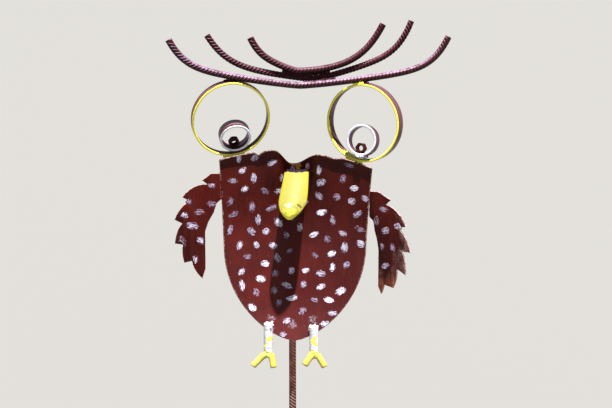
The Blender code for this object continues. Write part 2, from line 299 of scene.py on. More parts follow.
LOBE_FORWARD, LOBE_BODY, LOBE_START, LOBE_CLIMB = 5.0 * MM, 13 * MM, 205 * MM, 60 * MM
# A slip of the torch in the top edge, and the hollow to which the right lobe falls away.
NICK_OUT, NICK_DEEP, NICK_WIDE = -54.5 * MM, 4.8 * MM, 4.2 * MM
SAG_OUT, SAG_DEEP, SAG_WIDE = 54.0 * MM, 3.6 * MM, 9.5 * MM


def ease(t):
    """A smooth step from 0 to 1."""
    t = min(max(t, 0.0), 1.0)
    return t * t * (3.0 - 2.0 * t)


def hump(out, middle, width):
    """A smooth hump of height 1 round a place."""
    return math.exp(-((out - middle) / width) ** 2)


def blade_half_width(height):
    """Half width of the blade at a height above its tip."""
    if height < ROUND_HEIGHT:
        rest = 1.0 - height / ROUND_HEIGHT
        return ROUND_HALF * (1.0 - rest * rest) ** ROUND_POWER
    return ROUND_HALF + BLADE_FLARE * (height - ROUND_HEIGHT)


def neck_dip(out):
    """How far the top edge dips at the neck, steep on the left and gentle on the right."""
    if out < NECK_MIDDLE:
        return NECK_DIP * ease((NECK_LEFT + out) / NECK_LEFT_RUN)
    return NECK_DIP * ease((NECK_RIGHT - out) / NECK_RIGHT_RUN)


def blade_top(out):
    """Height of the top edge at a distance to the right of the centre line."""
    height = SHOULDER_HEIGHT - SHOULDER_FALL * (out - SHOULDER_PEAK) ** 2
    height += (LOBE_RISE if out < 0 else -LOBE_RISE) * hump(abs(out), LOBE_OUT, LOBE_WIDE)
    height -= SAG_DEEP * hump(out, SAG_OUT, SAG_WIDE)
    height -= neck_dip(out)
    return height - NICK_DEEP * hump(out, NICK_OUT, NICK_WIDE)


def blade_depth(out, height):
    """Depth of the sheet's middle surface, more negative towards the front."""
    depth = BLADE_BACK - DISH_SIDE * abs(out / DISH_HALF) ** 2.2
    along = height - DISH_LEVEL
    if along < 0:
        depth -= DISH_TIP * (along / DISH_LEVEL) ** 2
    else:
        depth -= DISH_TOP * (along / DISH_ABOVE) ** 2
    grown = ease((height - GROOVE_START) / (GROOVE_FULL - GROOVE_START))
    half = GROOVE_HALF_LOW + (GROOVE_HALF_TOP - GROOVE_HALF_LOW) * grown
    if abs(out) < half:
        depth += GROOVE_DEPTH * grown * math.cos(0.5 * math.pi * out / half) ** 2
    near_top = ease((height - LOBE_START) / LOBE_CLIMB)
    depth -= LOBE_FORWARD * near_top * hump(abs(out), LOBE_OUT, LOBE_BODY)
    into_step = (height - blade_top(out) + STEP_BAND) / STEP_BAND
    if into_step > 0:
        depth -= STEP_LIP * ease((abs(out) - STEP_FROM) / STEP_RUN) * into_step ** 2
    return depth


print("blade:", round(2 * blade_half_width(SHOULDER_HEIGHT) / MM), "mm wide at the shoulders")

# %% The blade's middle surface
BLADE_COLUMNS = 132
DENT, DENTS_ACROSS, DENTS_UP = 0.45 * MM, 28, 22
FLAT_BELOW = 205 * MM           # above this the rows bend to follow the top edge
RIM_SEEN = 20 * MM              # distances to the edge are kept up to here

# Rows crowd together at the point and at the rolled top edge.
TIP_SHARE, BODY_SHARE, TOP_SHARE = 0.21, 0.735, 0.055
TIP_ROWS, BODY_ROWS, TOP_ROWS, TIP_CROWDING = 26, 72, 18, 1.8
row_shares = [TIP_SHARE * (i / TIP_ROWS) ** TIP_CROWDING for i in range(TIP_ROWS + 1)]
for start, share, count in ((TIP_SHARE, BODY_SHARE, BODY_ROWS),
                            (TIP_SHARE + BODY_SHARE, TOP_SHARE, TOP_ROWS)):
    row_shares += [start + share * i / count for i in range(1, count + 1)]


def blade_middle():
    """Points, faces, distance to the edge, and rows of the sheet's middle surface."""
    points, faces, rim, rows = [], [], [], []
    for share in row_shares:
        even = share * SHOULDER_HEIGHT
        half = blade_half_width(even)
        lift = ease((even - FLAT_BELOW) / (SHOULDER_HEIGHT - FLAT_BELOW))
        line = []
        for c in range(BLADE_COLUMNS + 1 if share else 1):
            out = half * (2 * c / BLADE_COLUMNS - 1)
            height = even + lift * (blade_top(out) - SHOULDER_HEIGHT)
            dent = DENT * noise.noise(Vector((out * DENTS_ACROSS, height * DENTS_UP, 0.7)))
            x = BLADE_TIP.x + out + BLADE_LEAN * height
            line.append(len(points))
            points.append((x, blade_depth(out, height) + dent, BLADE_TIP.z + height))
            rim.append(min(half - abs(out), SHOULDER_HEIGHT - even, RIM_SEEN))
        rows.append(line)
    for low, high in zip(rows, rows[1:]):
        for c in range(BLADE_COLUMNS):
            foot = low[:1] if len(low) == 1 else (low[c], low[c + 1])
            faces.append((*foot, high[c + 1], high[c]))
    return points, faces, rim, rows


points, faces, rim, rows = blade_middle()
blade_ground = mesh_object("blade_ground", points, faces, {"rim": rim})
print("blade grid:", len(points), "points")


# %% Thicken the blade
def loop(count):
    """Each number below a count with the one after it, and the last with the first."""
    return [(i, (i + 1) % count) for i in range(count)]


def thicken(name, middle, rows, thickness, bulge):
    """A closed sheet from a middle surface and its rows, lowest first, with a rounded edge."""
    border = rows[0] + [line[-1] for line in rows[1:]]
    border += rows[-1][-2::-1] + [line[0] for line in rows[-2:0:-1]]
    source = middle.data
    count = len(source.vertices)
    where = [v.co.copy() for v in source.vertices]
    side = [v.normal.copy() for v in source.vertices]
    rims = [item.value for item in source.attributes["rim"].data]
    points = [p + n * thickness / 2 for p, n in zip(where, side)]
    points += [p - n * thickness / 2 for p, n in zip(where, side)]
    centre = sum((where[i] for i in border), Vector()) / len(border)
    for i in border:
        outward = where[i] - centre
        outward -= side[i] * outward.dot(side[i])
        points.append(where[i] + outward.normalized() * bulge)
    faces = [tuple(p.vertices) for p in source.polygons]
    faces += [tuple(i + count for i in reversed(p.vertices)) for p in source.polygons]
    for k, n in loop(len(border)):
        a, b, ma, mb = border[k], border[n], 2 * count + k, 2 * count + n
        faces += [(b, a, ma, mb), (a + count, b + count, mb, ma)]
    return mesh_object(name, points, faces, {"rim": rims + rims + [0.0] * len(border)})


blade = thicken("shovel_blade", blade_ground, rows, BLADE_SHEET, bulge=0.5 * MM)
print("blade:", triangles(blade), "triangles")

# %% [markdown]
# The blade is painted darker in its upper part, and more so towards the top right, as painted
# shade, and a pale pinkish coat over its middle and lower part is a painted sheen. Smears of
# white lie above the legs. The paint is knocked off along the edges, and in the dip of the neck,
# above the beak, the torch left a bare patch that has gone orange with rust. Each of these is one
# more coat on the maroon, placed by height, by spot, or by the distance to the edge that the mesh
# carries.

# %% Blade paint
NECK_RUST_AT = (5.5, -9.0, 541.0)      # in millimetres, as are the next
LEG_SMEARS_AT = ((-31.5, -34.0, 314.0), (31.0, -34.0, 311.0), (0.0, -33.0, 305.0))


def blade_enamel():
    p = Paint("blade enamel")
    across, _, up = p.split(p.coords())
    # Painted shade: darker towards the top and the top right, along a slanted line.
    slope = p.times_plus(across, 0.5, up)
    lay_maroon(p, shade=p.span(slope, 430 * MM, 510 * MM, 0.0, 0.34))
    # Painted sheen: a pale pinkish coat over the middle and lower blade, strongest at the bottom.
    painted_sheen = p.span(up, 415 * MM, 485 * MM, 0.065, 0.0)
    low = p.span(up, 300 * MM, 350 * MM, 0.09, 0.0)
    p.coat(p.math("ADD", painted_sheen, low), (0.135, 0.066, 0.078))
    for place in LEG_SMEARS_AT:
        thin = p.times(p.spot(place, 9.5, 6.0, place[0]), 0.42)
        p.coat(thin, (0.46, 0.43, 0.54), p.patches(300, 0.30, 0.75, shift=place[0]))
    rust = p.mix(p.patches(380, 0.35, 0.65), (0.30, 0.10, 0.02), (0.52, 0.23, 0.03))
    p.coat(p.spot(NECK_RUST_AT, 11.0, 5.0, 8.0), rust)
    ragged = p.times(p.patches(200, 0.25, 0.7, detail=4, shift=5.0), 1.3 * MM)
    worn = p.mix(p.patches(500, 0.4, 0.6, shift=4.0), CHIPPED, MAROON_BROWN)
    p.coat(p.math("LESS_THAN", p.stored("rim"), ragged), worn, 0.75)
    return p.finish()


blade.data.materials.append(blade_enamel())
print("paint:", blade.data.materials[0].name)

# %% [markdown]
# ## Ribbed bars
# The brows and the stake are reinforcing bar. Such a bar has two thin ridges along it and slanted
# ribs between them at an even pitch. Modelling each rib by hand would be slow and an Array
# modifier would not follow a bend well, so Geometry Nodes make them: the bent line is resampled
# for the round core and again at the rib pitch, and a slanted loop that hugs the core is put on
# each of those points.

# %% Helpers for Geometry Nodes
def new_tree(name, sizes):
    """A geometry tree with named inputs at their usual values, and a paint."""
    group = bpy.data.node_groups.new(name, "GeometryNodeTree")
    add_socket = group.interface.new_socket
    add_socket("Geometry", in_out="INPUT", socket_type="NodeSocketGeometry")
    for label, usual in sizes.items():
        kind = "NodeSocketInt" if isinstance(usual, int) else "NodeSocketFloat"
        add_socket(label, in_out="INPUT", socket_type=kind).default_value = usual
    add_socket("Paint", in_out="INPUT", socket_type="NodeSocketMaterial")
    add_socket("Geometry", in_out="OUTPUT", socket_type="NodeSocketGeometry")
    g = Nodes(group)
    return g, g.add("NodeGroupInput").outputs


def end_tree(g, geometry, paint):
    """End a tree with real meshes, smooth shading and their paint."""
    real = g.geo("RealizeInstances", {0: geometry})
    smooth = g.geo("SetShadeSmooth", {0: real})
    painted = g.geo("SetMaterial", {"Geometry": smooth, "Material": paint})
    g.add("NodeGroupOutput", {0: painted})
    return g.tree


def run_tree(obj, tree, values):
    """Put a tree on an object with its inputs set, and keep the mesh that it makes."""
    modifier = obj.modifiers.new(tree.name, "NODES")
    modifier.node_group = tree
    for item in tree.interface.items_tree:
        if item.in_out == "INPUT" and item.name in values:
            modifier[item.identifier] = values[item.name]
    return harden(obj)


def circle(g, resolution, radius):
    return g.geo("CurvePrimitiveCircle", {"Resolution": resolution, "Radius": radius})


def sweep(g, curve, profile, caps=False):
    return g.geo("CurveToMesh", {"Curve": curve, "Profile Curve": profile, "Fill Caps": caps})


def store(g, geometry, name, value, data_type="FLOAT", domain="POINT"):
    return g.geo("StoreNamedAttribute", {"Geometry": geometry, "Name": name, "Value": value},
                 data_type=data_type, domain=domain)


def lines_object(name, lines):
    """An object of bare edges, one chain for each list of points."""
    points, edges = [], []
    for line in lines:
        edges += [(len(points) + i, len(points) + i + 1) for i in range(len(line) - 1)]
        points += line
    mesh = bpy.data.meshes.new(name)
    mesh.from_pydata(points, edges, [])
    return in_scene(name, mesh)


# %% The ribbed bar tree
RIBLESS_END = 6.5 * MM
RIDGE_RADIUS = 0.75 * MM
BEND_STEP, BAR_SIDES = 2.5 * MM, 20


def ribbed_bar_tree():
    g, size = new_tree("ribbed bar", {
        "Bar Radius": 4.9 * MM, "Rib Height": 0.5 * MM, "Rib Width": 1.8 * MM,
        "Rib Pitch": 5.2 * MM, "Rib Slant": 0.9, "Rib Turn": 0.0})
    line = g.geo("MeshToCurve", {0: size["Geometry"]})
    fine = g.geo("ResampleCurve", {"Curve": line, "Length": BEND_STEP}, mode="LENGTH")
    core_radius = g.math("SUBTRACT", size["Bar Radius"], size["Rib Height"])
    core = sweep(g, fine, circle(g, BAR_SIDES, core_radius), True)
    # A slanted loop that hugs the core and stands out of it by the rib height.
    half_width = g.times(size["Rib Width"], 0.5)
    hoop = circle(g, BAR_SIDES, g.math("SUBTRACT", size["Bar Radius"], half_width))
    across = g.split(g.geo("InputPosition"))[1]
    slanted = g.geo("SetPosition", {
        "Geometry": hoop, "Offset": g.vector(z=g.times(across, size["Rib Slant"]))})
    rib = store(g, sweep(g, slanted, circle(g, 6, half_width)), "crest", 1.0)
    turned = g.geo("Transform", {"Geometry": rib, "Rotation": g.vector(z=size["Rib Turn"])})
    # The ribs stop short of the sawn ends.
    length = g.geo("CurveLength", {0: line})
    trimmed = g.geo("TrimCurve", {
        "Curve": line, "Start_001": RIBLESS_END,
        "End_001": g.math("SUBTRACT", length, RIBLESS_END)}, mode="LENGTH")
    spots = g.add("GeometryNodeCurveToPoints", {"Curve": trimmed, "Length": size["Rib Pitch"]},
                  mode="LENGTH").outputs
    ribs = g.geo("InstanceOnPoints",
                 {"Points": spots[0], "Instance": turned, "Rotation": spots["Rotation"]})
    # The two thin ridges that run along the bar.
    join = g.add("GeometryNodeJoinGeometry")
    for hand in (-1, 1):
        reach = g.times(core_radius, 0.985 * hand)
        turn = g.out("ShaderNodeVectorRotate",
                     {"Vector": g.vector(y=reach), "Angle": size["Rib Turn"]},
                     rotation_type="Z_AXIS")
        moved = g.geo("Transform",
                      {"Geometry": circle(g, 8, RIDGE_RADIUS), "Translation": turn})
        g.plug(join.inputs[0], sweep(g, fine, moved, True))
    g.plug(join.inputs[0], ribs)
    g.plug(join.inputs[0], core)
    # Note how far each point looks up, for the painted sheen on top and the painted shade below.
    real = g.geo("RealizeInstances", {0: join.outputs[0]})
    facing_up = g.split(g.geo("InputNormal"))[2]
    return end_tree(g, store(g, real, "topside", facing_up), size["Paint"])


RIBBED_BAR = ribbed_bar_tree()
print("tree:", RIBBED_BAR.name, len(RIBBED_BAR.nodes), "nodes")

# %% [markdown]
# ### The brows
# Three bars are bent cold into shallow bows with kicked-up ends and welded in a stack where they
# meet. A hand-drawn curve would do, but a rule is easier to adjust: each half of a brow is a
# gentle sag plus a sharper kick near its end. The middle bar is the roughest, with deep rope-like
# ribs, and the other two are worn almost smooth. Their tops are painted lilac as a painted sheen
# of the sky, the low bar's most of all, and their undersides are painted nearly black as painted
# shade. Their rib tops are rubbed paler, which also stands as a painted highlight. The bar tree
# notes which way each point looks, so the paint can tell top from underside.

# %% Bend the brows
BAR_RADIUS, BAR_PITCH = 4.9 * MM, 5.2 * MM
BROW_TURN = 0.15                # the right ends stand further back, per unit of width
ARM_END, ARM_STEPS = 0.998, 60
# The lowest point; then reach, sag, kick and the powers of both for the left arm and for the
# right; then the height and the width of a rib.
BROWS = {
    "brow_bar_low": ((12.8, -56.0, 661.75), (186.5, 31.2, 36.0, 1.26, 9),
                     (214.5, 27.0, 42.2, 1.31, 10), 0.75, 2.0),
    "brow_bar_middle": ((30.6, -45.7, 670.4), (151, 27.0, 37.0, 1.25, 6),
                        (142.5, 43.7, 39.3, 1.25, 8), 1.25, 2.9),
    "brow_bar_top": ((8.0, -54.0, 682.5), (67, 29.8, 18.1, 1.26, 6),
                     (123.5, 31.0, 35.5, 2.0, 5.2), 0.7, 2.0),
}


def brow_point(lowest, arm, share):
    """A point on one arm, share of the way out; the arm's reach is signed."""
    reach, sag, kick, sag_power, kick_power = arm
    x = lowest.x + reach * share * MM
    rise = sag * abs(share) ** sag_power + kick * abs(share) ** kick_power
    return Vector((x, lowest.y + BROW_TURN * (x - lowest.x), lowest.z + rise * MM))


def brow_line(lowest, left, right):
    low = Vector(lowest) * MM
    left = (-left[0], *left[1:])
    line = [brow_point(low, left, ARM_END - ARM_END * i / ARM_STEPS) for i in range(ARM_STEPS)]
    return line + [brow_point(low, right, ARM_END * i / ARM_STEPS) for i in range(ARM_STEPS + 1)]


def bar_enamel(name, specular, sky_sheen):
    """A more purple coat of the maroon, with painted shade below and a painted lilac sheen on top.
    """
    p = lay_maroon(Paint(name))
    p.coat(0.7, (0.026, 0.0020, 0.0060))
    # Rib crests rubbed paler: wear, and also a painted highlight.
    rubbed_crest_highlight = p.times(p.stored("crest"), p.patches(60, 0.3, 0.7, shift=3))
    p.coat(rubbed_crest_highlight, (0.110, 0.030, 0.044), 0.5)
    topside = p.stored("topside")
    # Painted shade: the undersides are darkened.
    p.coat(p.span(topside, -0.35, 0.35, 0.9, 0.0), (0.006, 0.0006, 0.0012))
    # Painted sheen: the tops are made lilac, as the sky's reflection.
    painted_sky_sheen = p.span(topside, 0.45, 0.80, 0.0, sky_sheen)
    p.coat(painted_sky_sheen, (0.290, 0.190, 0.320), p.patches(110, 0.25, 0.6, shift=5))
    p.roughness = p.span(p.patches(70, 0.3, 0.7, shift=1.7), 0, 1, 0.36, 0.48)
    return p.finish(0.2 * MM, specular)


BAR_ENAMEL = bar_enamel("bar enamel", specular=0.14, sky_sheen=0.28)
SHINY_BAR_ENAMEL = bar_enamel("shiny bar enamel", specular=0.22, sky_sheen=0.95)
for node, (*bends, rib_height, rib_width) in BROWS.items():
    bar = lines_object(node + "_bar", [brow_line(*bends)])
    run_tree(bar, RIBBED_BAR, {
        "Bar Radius": BAR_RADIUS, "Rib Height": rib_height * MM, "Rib Width": rib_width * MM,
        "Rib Pitch": BAR_PITCH, "Rib Slant": -0.95, "Rib Turn": 0.0,
        "Paint": SHINY_BAR_ENAMEL if node == "brow_bar_low" else BAR_ENAMEL})
    keep(bar, None, "maroon_paint", node)

# %% [markdown]
# ### The stake
# The stake is a straight length of the same bar behind the blade, so it comes from the same
# tree, with other ribs. It has stood in the ground, so its paint is thin, dusty and coming
# through with rust, and its rib tops are rubbed pale, which also stands as a painted highlight on
# the ribs. Its colour is made light overall, which partly lifts its upper part in the blade's
# shadow, and below a ragged line at the edge of that shadow the sunlit lower part is painted
# darker, as painted shade, so it looks like the shaded part above. It is cut off flat at the
# ground.

# %% Stake
STAKE_RADIUS, STAKE_TOP = 5.5 * MM, 526 * MM


def weathered_shaded_maroon():
    p = lay_maroon(Paint("weathered maroon"), age=1.0)
    # A light coat over the whole stake, which partly lifts its upper part out of the blade's shadow
    # as painted light.
    p.coat(0.65, (0.265, 0.056, 0.038))
    p.coat(p.patches(120, 0.42, 0.62, detail=6, shift=6.0), RUST, 0.5)
    p.coat(p.patches(340, 0.45, 0.7, detail=5, shift=9.0), (0.32, 0.175, 0.150), 0.4)
    # Rib crests rubbed pale: wear, and also a painted highlight.
    rubbed_crest_highlight = p.times(p.stored("crest"), p.patches(90, 0.25, 0.6, shift=2))
    p.coat(rubbed_crest_highlight, (0.60, 0.290, 0.260), 0.8)
    # Painted shade: the sunlit part below the blade's shadow is darkened up to a ragged line.
    ragged = p.times_plus(p.patches(120, 0.2, 0.8, shift=4), 8 * MM, p.up())
    p.coat(p.span(ragged, 194 * MM, 200 * MM, 0.80, 0.0), (0.072, 0.046, 0.042))
    p.roughness = 0.62
    return p.finish(0.35 * MM)


WEATHERED_SHADED = weathered_shaded_maroon()
stake = lines_object("stake_bar", [[Vector((0, 0, STAKE_TOP * i / 40)) for i in range(41)]])
run_tree(stake, RIBBED_BAR, {
    "Bar Radius": STAKE_RADIUS, "Rib Height": 0.9 * MM, "Rib Width": 3.0 * MM,
    "Rib Pitch": 5.0 * MM, "Rib Slant": 0.95, "Rib Turn": math.pi / 2, "Paint": WEATHERED_SHADED})
keep(stake, None, "rusty_maroon_paint", "stake")

# %% [markdown]
# ## Eyes
# Each eye is a slice of pipe standing on the blade's top edge, with a smaller slice lying in it
# and a nut lying in that. A cylinder with a Bevel would be too perfect, so a slice is a rounded
# rectangle turned round the pipe's axis: the saw wandered a little, and the front rim waves by a
# fraction of a millimetre. Each point keeps its distance behind the front rim, so the paint can
# tell the rim from the sides.

# %% Turned rings
SAWN_CORNER = 1.3 * MM


def facing(place, yaw, pitch):
    """The matrix that puts +Z to the front; yaw turns to the right, pitch up."""
    yaw, pitch = math.radians(yaw), math.radians(pitch)
    front = Vector((math.sin(yaw) * math.cos(pitch), -math.cos(yaw) * math.cos(pitch),
                    math.sin(pitch)))
    across = front.cross(Vector((0, 0, 1))).normalized()
    turn = Matrix((-across, across.cross(front), front)).transposed()
    return Matrix.Translation(Vector(place) * MM) @ turn.to_4x4()


def turned(name, rings, numbers=None):
    """A closed shape from rings of points round an axis, the last joined to the first."""
    count = len(rings[0])
    faces = [(s * count + k, t * count + k, t * count + n, s * count + n)
             for s, t in loop(len(rings)) for k, n in loop(count)]
    return mesh_object(name, [p for ring in rings for p in ring], faces, numbers)


def rounded_profile(radius, wall, length, corner, steps=4):
    """(radius, height) round a slice's wall, starting at the outer back corner."""
    profile = []
    corners = [(radius, -length, 270), (radius, 0.0, 0), (radius - wall, 0.0, 90),
               (radius - wall, -length, 180)]
    for r, h, start in corners:
        centre_r = r - corner if r == radius else r + corner
        centre_h = h + corner if h < 0 else h - corner
        for i in range(steps + 1):
            angle = math.radians(start + 90 * i / steps)
            profile.append((centre_r + corner * math.cos(angle),
                            centre_h + corner * math.sin(angle)))
    return profile


def pipe_slice(name, place, radius, wall, length, segments, wander):
    """A slice of pipe with sawn, rounded rims, in place."""
    profile = rounded_profile(radius, wall, length, SAWN_CORNER)
    rings = []
    for s in range(segments):
        angle = 2 * math.pi * s / segments
        flow = Vector((math.cos(angle), math.sin(angle), radius * 100))
        saw = wander * noise.noise(flow * 2.2)
        ring = []
        for r, h in profile:
            r += 0.25 * MM * noise.noise(flow * 3 + Vector((0, 0, h * 40)))
            height = h + (saw - wander) * (1 + h / length)
            ring.append(place @ Vector((r * math.cos(angle), r * math.sin(angle), height)))
        rings.append(ring)
    return turned(name, rings, {"behind": [-h for _, h in profile] * segments})


# %% [markdown]
# A contrasting colour is brushed on the front rim of each slice: yellow on the eyes, white on
# the irises. The brush slips over the corner here and there, so the edge of the colour follows
# noise, and the yellow of the right eye has run further into the ring at the bottom left. The
# faces could be given materials by hand, but a crisp border would look printed. Down the sides
# the maroon shows under a lilac coat, which is dust and also a painted sheen. On the left iris
# that coat is dark, as painted shade on the sunlit part of the sides near the rim, the sides
# further back are painted pale as painted light in their shadow, and its rim is a lighter white,
# as painted light on its shaded lower half.

# %% Ring paint
YELLOW, YELLOW_DEEP = (0.80, 0.755, 0.100), (0.74, 0.66, 0.050)
LEMON, LEMON_DEEP = (0.212, 0.209, 0.056), (0.210, 0.198, 0.036)
SUNNY, SUNNY_DEEP = (0.39, 0.375, 0.085), (0.37, 0.32, 0.045)
WHITE, WHITE_GREY, WHITE_LIT = (0.52, 0.53, 0.58), (0.36, 0.36, 0.43), (0.74, 0.76, 0.82)
RING_DUST_AND_SHEEN = (0.120, 0.066, 0.082)


def rimmed_enamel(name, bright, shade, slip, dusty, side_coat=RING_DUST_AND_SHEEN, runs=(), painted_light_back=0.0):
    """Maroon sides and a front rim in another colour.

    slip is how far the brush went over the corner; each of runs is a place, a radius and how
    much further the colour went there. All are in millimetres.
    """
    p = lay_maroon(Paint(name))
    # A lilac coat over the sides: dust, and also a painted sheen.
    p.coat(dusty, side_coat)
    # Painted light: the sides further back are made paler by a share.
    p.coat(p.span(p.stored("behind"), 5 * MM, 9 * MM, 0.0, painted_light_back), (0.30, 0.200, 0.240))
    over = p.times_plus(p.patches(130, 0.3, 0.75, detail=3), slip * MM, slip * MM)
    for place, radius, further in runs:
        over = p.times_plus(p.spot(place, radius, 6.0, radius), further * MM, over)
    rim_colour = p.mix(p.patches(170, 0.3, 0.7), bright, shade)
    p.coat(p.math("LESS_THAN", p.stored("behind"), over), rim_colour)
    return p.finish()


EYE_ENAMELS = {
    "left": rimmed_enamel("left eye enamel", YELLOW, YELLOW_DEEP, slip=0.7, dusty=0.6),
    "right": rimmed_enamel("right eye enamel", YELLOW, YELLOW_DEEP, slip=0.7, dusty=0.6, runs=(
        ((62.0, -26.0, 575.0), 38.0, 2.4), ((90.0, -34.0, 553.0), 24.0, 12.0))),
}
IRIS_ENAMELS = {
    # Left iris: a dark side coat as painted shade near the rim, painted light further back, and a
    # lighter white rim as painted light on its shaded lower half.
    "left": rimmed_enamel("left iris enamel", WHITE_LIT, WHITE, slip=0.8, dusty=0.75,
                          side_coat=(0.055, 0.026, 0.032), painted_light_back=0.9),
    "right": rimmed_enamel("right iris enamel", WHITE, WHITE_GREY, slip=0.8, dusty=0.6),
}
print("paints:", [p.name for p in (*EYE_ENAMELS.values(), *IRIS_ENAMELS.values())])

# %% Eye rings and iris rings
EYE_RADIUS, EYE_WALL = 57.15 * MM, 3.2 * MM
IRIS_RADIUS, IRIS_WALL, IRIS_LENGTH = 23.0 * MM, 3.6 * MM, 17.0 * MM
# Length of the eye ring; place, yaw and pitch of it, and of the iris ring; depth and roll of
# the nut.
EYES = {
    "left": (13.0, ((-86.8, -59.0, 612.2), 14.5, -17.0), ((-81.3, -49.0, 583.9), 14, -29.5),
             (5.0, 0)),
    "right": (18.0, ((101.3, -47.6, 606.3), -27, -2.1), ((99.9, -47.6, 582.0), -22.5, 7.2),
              (2.0, -6)),
}
for side, (length, ring, iris, _) in EYES.items():
    eye = pipe_slice(side + "_eye_slice", facing(*ring), EYE_RADIUS, EYE_WALL, length * MM,
                     segments=144, wander=0.35 * MM)
    keep(eye, EYE_ENAMELS[side], "maroon_paint", side + "_eye_ring")
    small = pipe_slice(side + "_iris_slice", facing(*iris), IRIS_RADIUS, IRIS_WALL, IRIS_LENGTH,
                       segments=96, wander=0.3 * MM)
    keep(small, IRIS_ENAMELS[side], "maroon_paint", side + "_iris_ring")

# %% [markdown]
# ### Pupil nuts
# A hexagon nut has corners cut back by a cone and a thread in its bore. It could be cut from a
# six-sided cylinder with Booleans, but turning it leaves cleaner faces: the outside follows the
# hexagon, the chamfer drops with the distance past the flats, and the bore waves by half the
# thread's depth as it climbs, because a slanted wave is a screw thread.

# %% Nuts
NUT_FLATS, NUT_BORE, NUT_HEIGHT = 14.3 * MM, 8.2 * MM, 8.0 * MM
THREAD_PITCH, THREAD_DEEP, THREAD_STEPS = 1.5 * MM, 0.35 * MM, 36
NUT_SEGMENTS = 96


def nut_profile(angle):
    """(radius, height) round the nut's wall at one angle."""
    corner = NUT_FLATS / 2 / math.cos(angle % (math.pi / 3) - math.pi / 6)
    seat = 0.94 * NUT_FLATS / 2
    mouth = NUT_BORE / 2 + 0.5 * MM
    drop = (corner - seat) * math.tan(math.radians(28))
    profile = [(corner, drop - NUT_HEIGHT), (corner, -drop), ((corner + seat) / 2, -drop / 2),
               (seat, 0.0), (mouth, 0.0)]
    for i in range(THREAD_STEPS + 1):
        h = -0.4 * MM - (NUT_HEIGHT - 0.8 * MM) * i / THREAD_STEPS
        wave = math.cos(2 * math.pi * h / THREAD_PITCH + angle)
        profile.append((NUT_BORE / 2 - THREAD_DEEP * wave / 2, h))
    return profile + [(mouth, -NUT_HEIGHT), (seat, -NUT_HEIGHT),
                      ((corner + seat) / 2, drop / 2 - NUT_HEIGHT)]


def hex_nut(name, place):
    angles = [2 * math.pi * s / NUT_SEGMENTS for s in range(NUT_SEGMENTS)]
    obj = turned(name, [[place @ Vector((r * math.cos(angle), r * math.sin(angle), h))
                         for r, h in nut_profile(angle)] for angle in angles])
    obj.data.set_sharp_from_angle(angle=math.radians(25))
    return obj


NUT_ENAMEL = lay_maroon(Paint("nut enamel"), age=0.8, shade=0.6).finish()
for side, (_, _, iris, (depth, round_angle)) in EYES.items():
    half_side = NUT_FLATS / 2 * math.tan(math.pi / 6)
    seat = math.sqrt((IRIS_RADIUS - IRIS_WALL) ** 2 - half_side ** 2) - NUT_FLATS / 2 - 0.3 * MM
    roll = Matrix.Rotation(math.radians(round_angle), 4, "Z")
    place = facing(*iris) @ roll @ Matrix.Translation((0, -seat, -depth * MM))
    keep(hex_nut(side + "_pupil", place), NUT_ENAMEL, "dark_maroon_paint", side + "_pupil_nut")

# %% [markdown]
# ## Wings
# The wings are cut from 3 mm plate with a torch, each with six feather tips. A traced outline
# would do for one wing, but both follow one rule: angle and reach of every tip and notch, joined
# by bowed edges. A torch leaves an edge that wavers, so the outline is walked in short steps and
# nudged in and out, and the faces of the cut get a material of their own.

# %% Wing outline
WING_SHEET = 3.0 * MM
WING_CENTRE_OUT, WING_CENTRE_DOWN = 14.0 * MM, 84.0 * MM
WING_HALF_WIDTH, WING_HALF_HEIGHT = 55.0 * MM, 76.0 * MM
WING_TAB, WING_SLANT, WING_LEDGE = 39.0 * MM, 1.2 * MM, 13 * MM
# The inner edge runs up between two distances down, in millimetres, and swings in to the weld.
INNER_LOW, INNER_HIGH, INNER_STEPS = 140, 44, 7
INNER_AT_WELD, INNER_SWING = 5, 42 * MM
BOW_STEPS, BOW = 6, 0.8         # the bowed edge from a notch to the next tip
# Hand; top of the weld; turn; how far out the inner edge lies; then angle and reach of each tip
# and of the notch below it.
WINGS = {
    "left_wing": (-1, (-105.0, -45.5, 533.4), 8, 22.0, (
        (13, 1.00, 5, 0.90), (49, 1.00, 43, 0.78), (77, 0.99, 79, 0.77),
        (104, 0.99, 110, 0.79), (131, 0.95, 139, 0.78), (166, 0.97, 170, 0.80))),
    "right_wing": (1, (115.0, -43.0, 506.9), 33, 14.0, (
        (21, 1.04, 14, 0.90), (60, 0.965, 53, 0.71), (91, 0.975, 88, 0.68),
        (119, 0.95, 122, 0.67), (148, 0.87, 165, 0.72), (174, 0.89, 180, 0.80))),
}


def feather_point(angle, reach):
    angle = math.radians(angle)
    return Vector((WING_CENTRE_OUT + WING_HALF_WIDTH * reach * math.sin(angle),
                   WING_CENTRE_DOWN - WING_HALF_HEIGHT * reach * math.cos(angle)))


def wing_outline(inner, feathers):
    """Points (outwards, downwards) from the weld corner round the feathers and back."""
    points = [Vector((0.0, 0.0)), Vector((WING_LEDGE, 0.0))]
    notch = None
    for tip_angle, tip_reach, *next_notch in feathers:
        if notch:
            points.append(feather_point(*notch))
            for i in range(1, BOW_STEPS):
                step = i / BOW_STEPS
                points.append(feather_point(notch[0] + (tip_angle - notch[0]) * step,
                                            notch[1] + (tip_reach - notch[1]) * step ** BOW))
        points.append(feather_point(tip_angle, tip_reach))
        notch = next_notch
    for i in range(INNER_STEPS + 1):
        down = (INNER_LOW - i * (INNER_LOW - INNER_HIGH) / INNER_STEPS) * MM
        swung = ease((down - INNER_HIGH * MM) / INNER_SWING)
        out = INNER_AT_WELD * MM + (inner - INNER_AT_WELD) * MM * swung
        points.append(Vector((out, down)))
    return points + [Vector((-WING_SLANT, WING_TAB))]


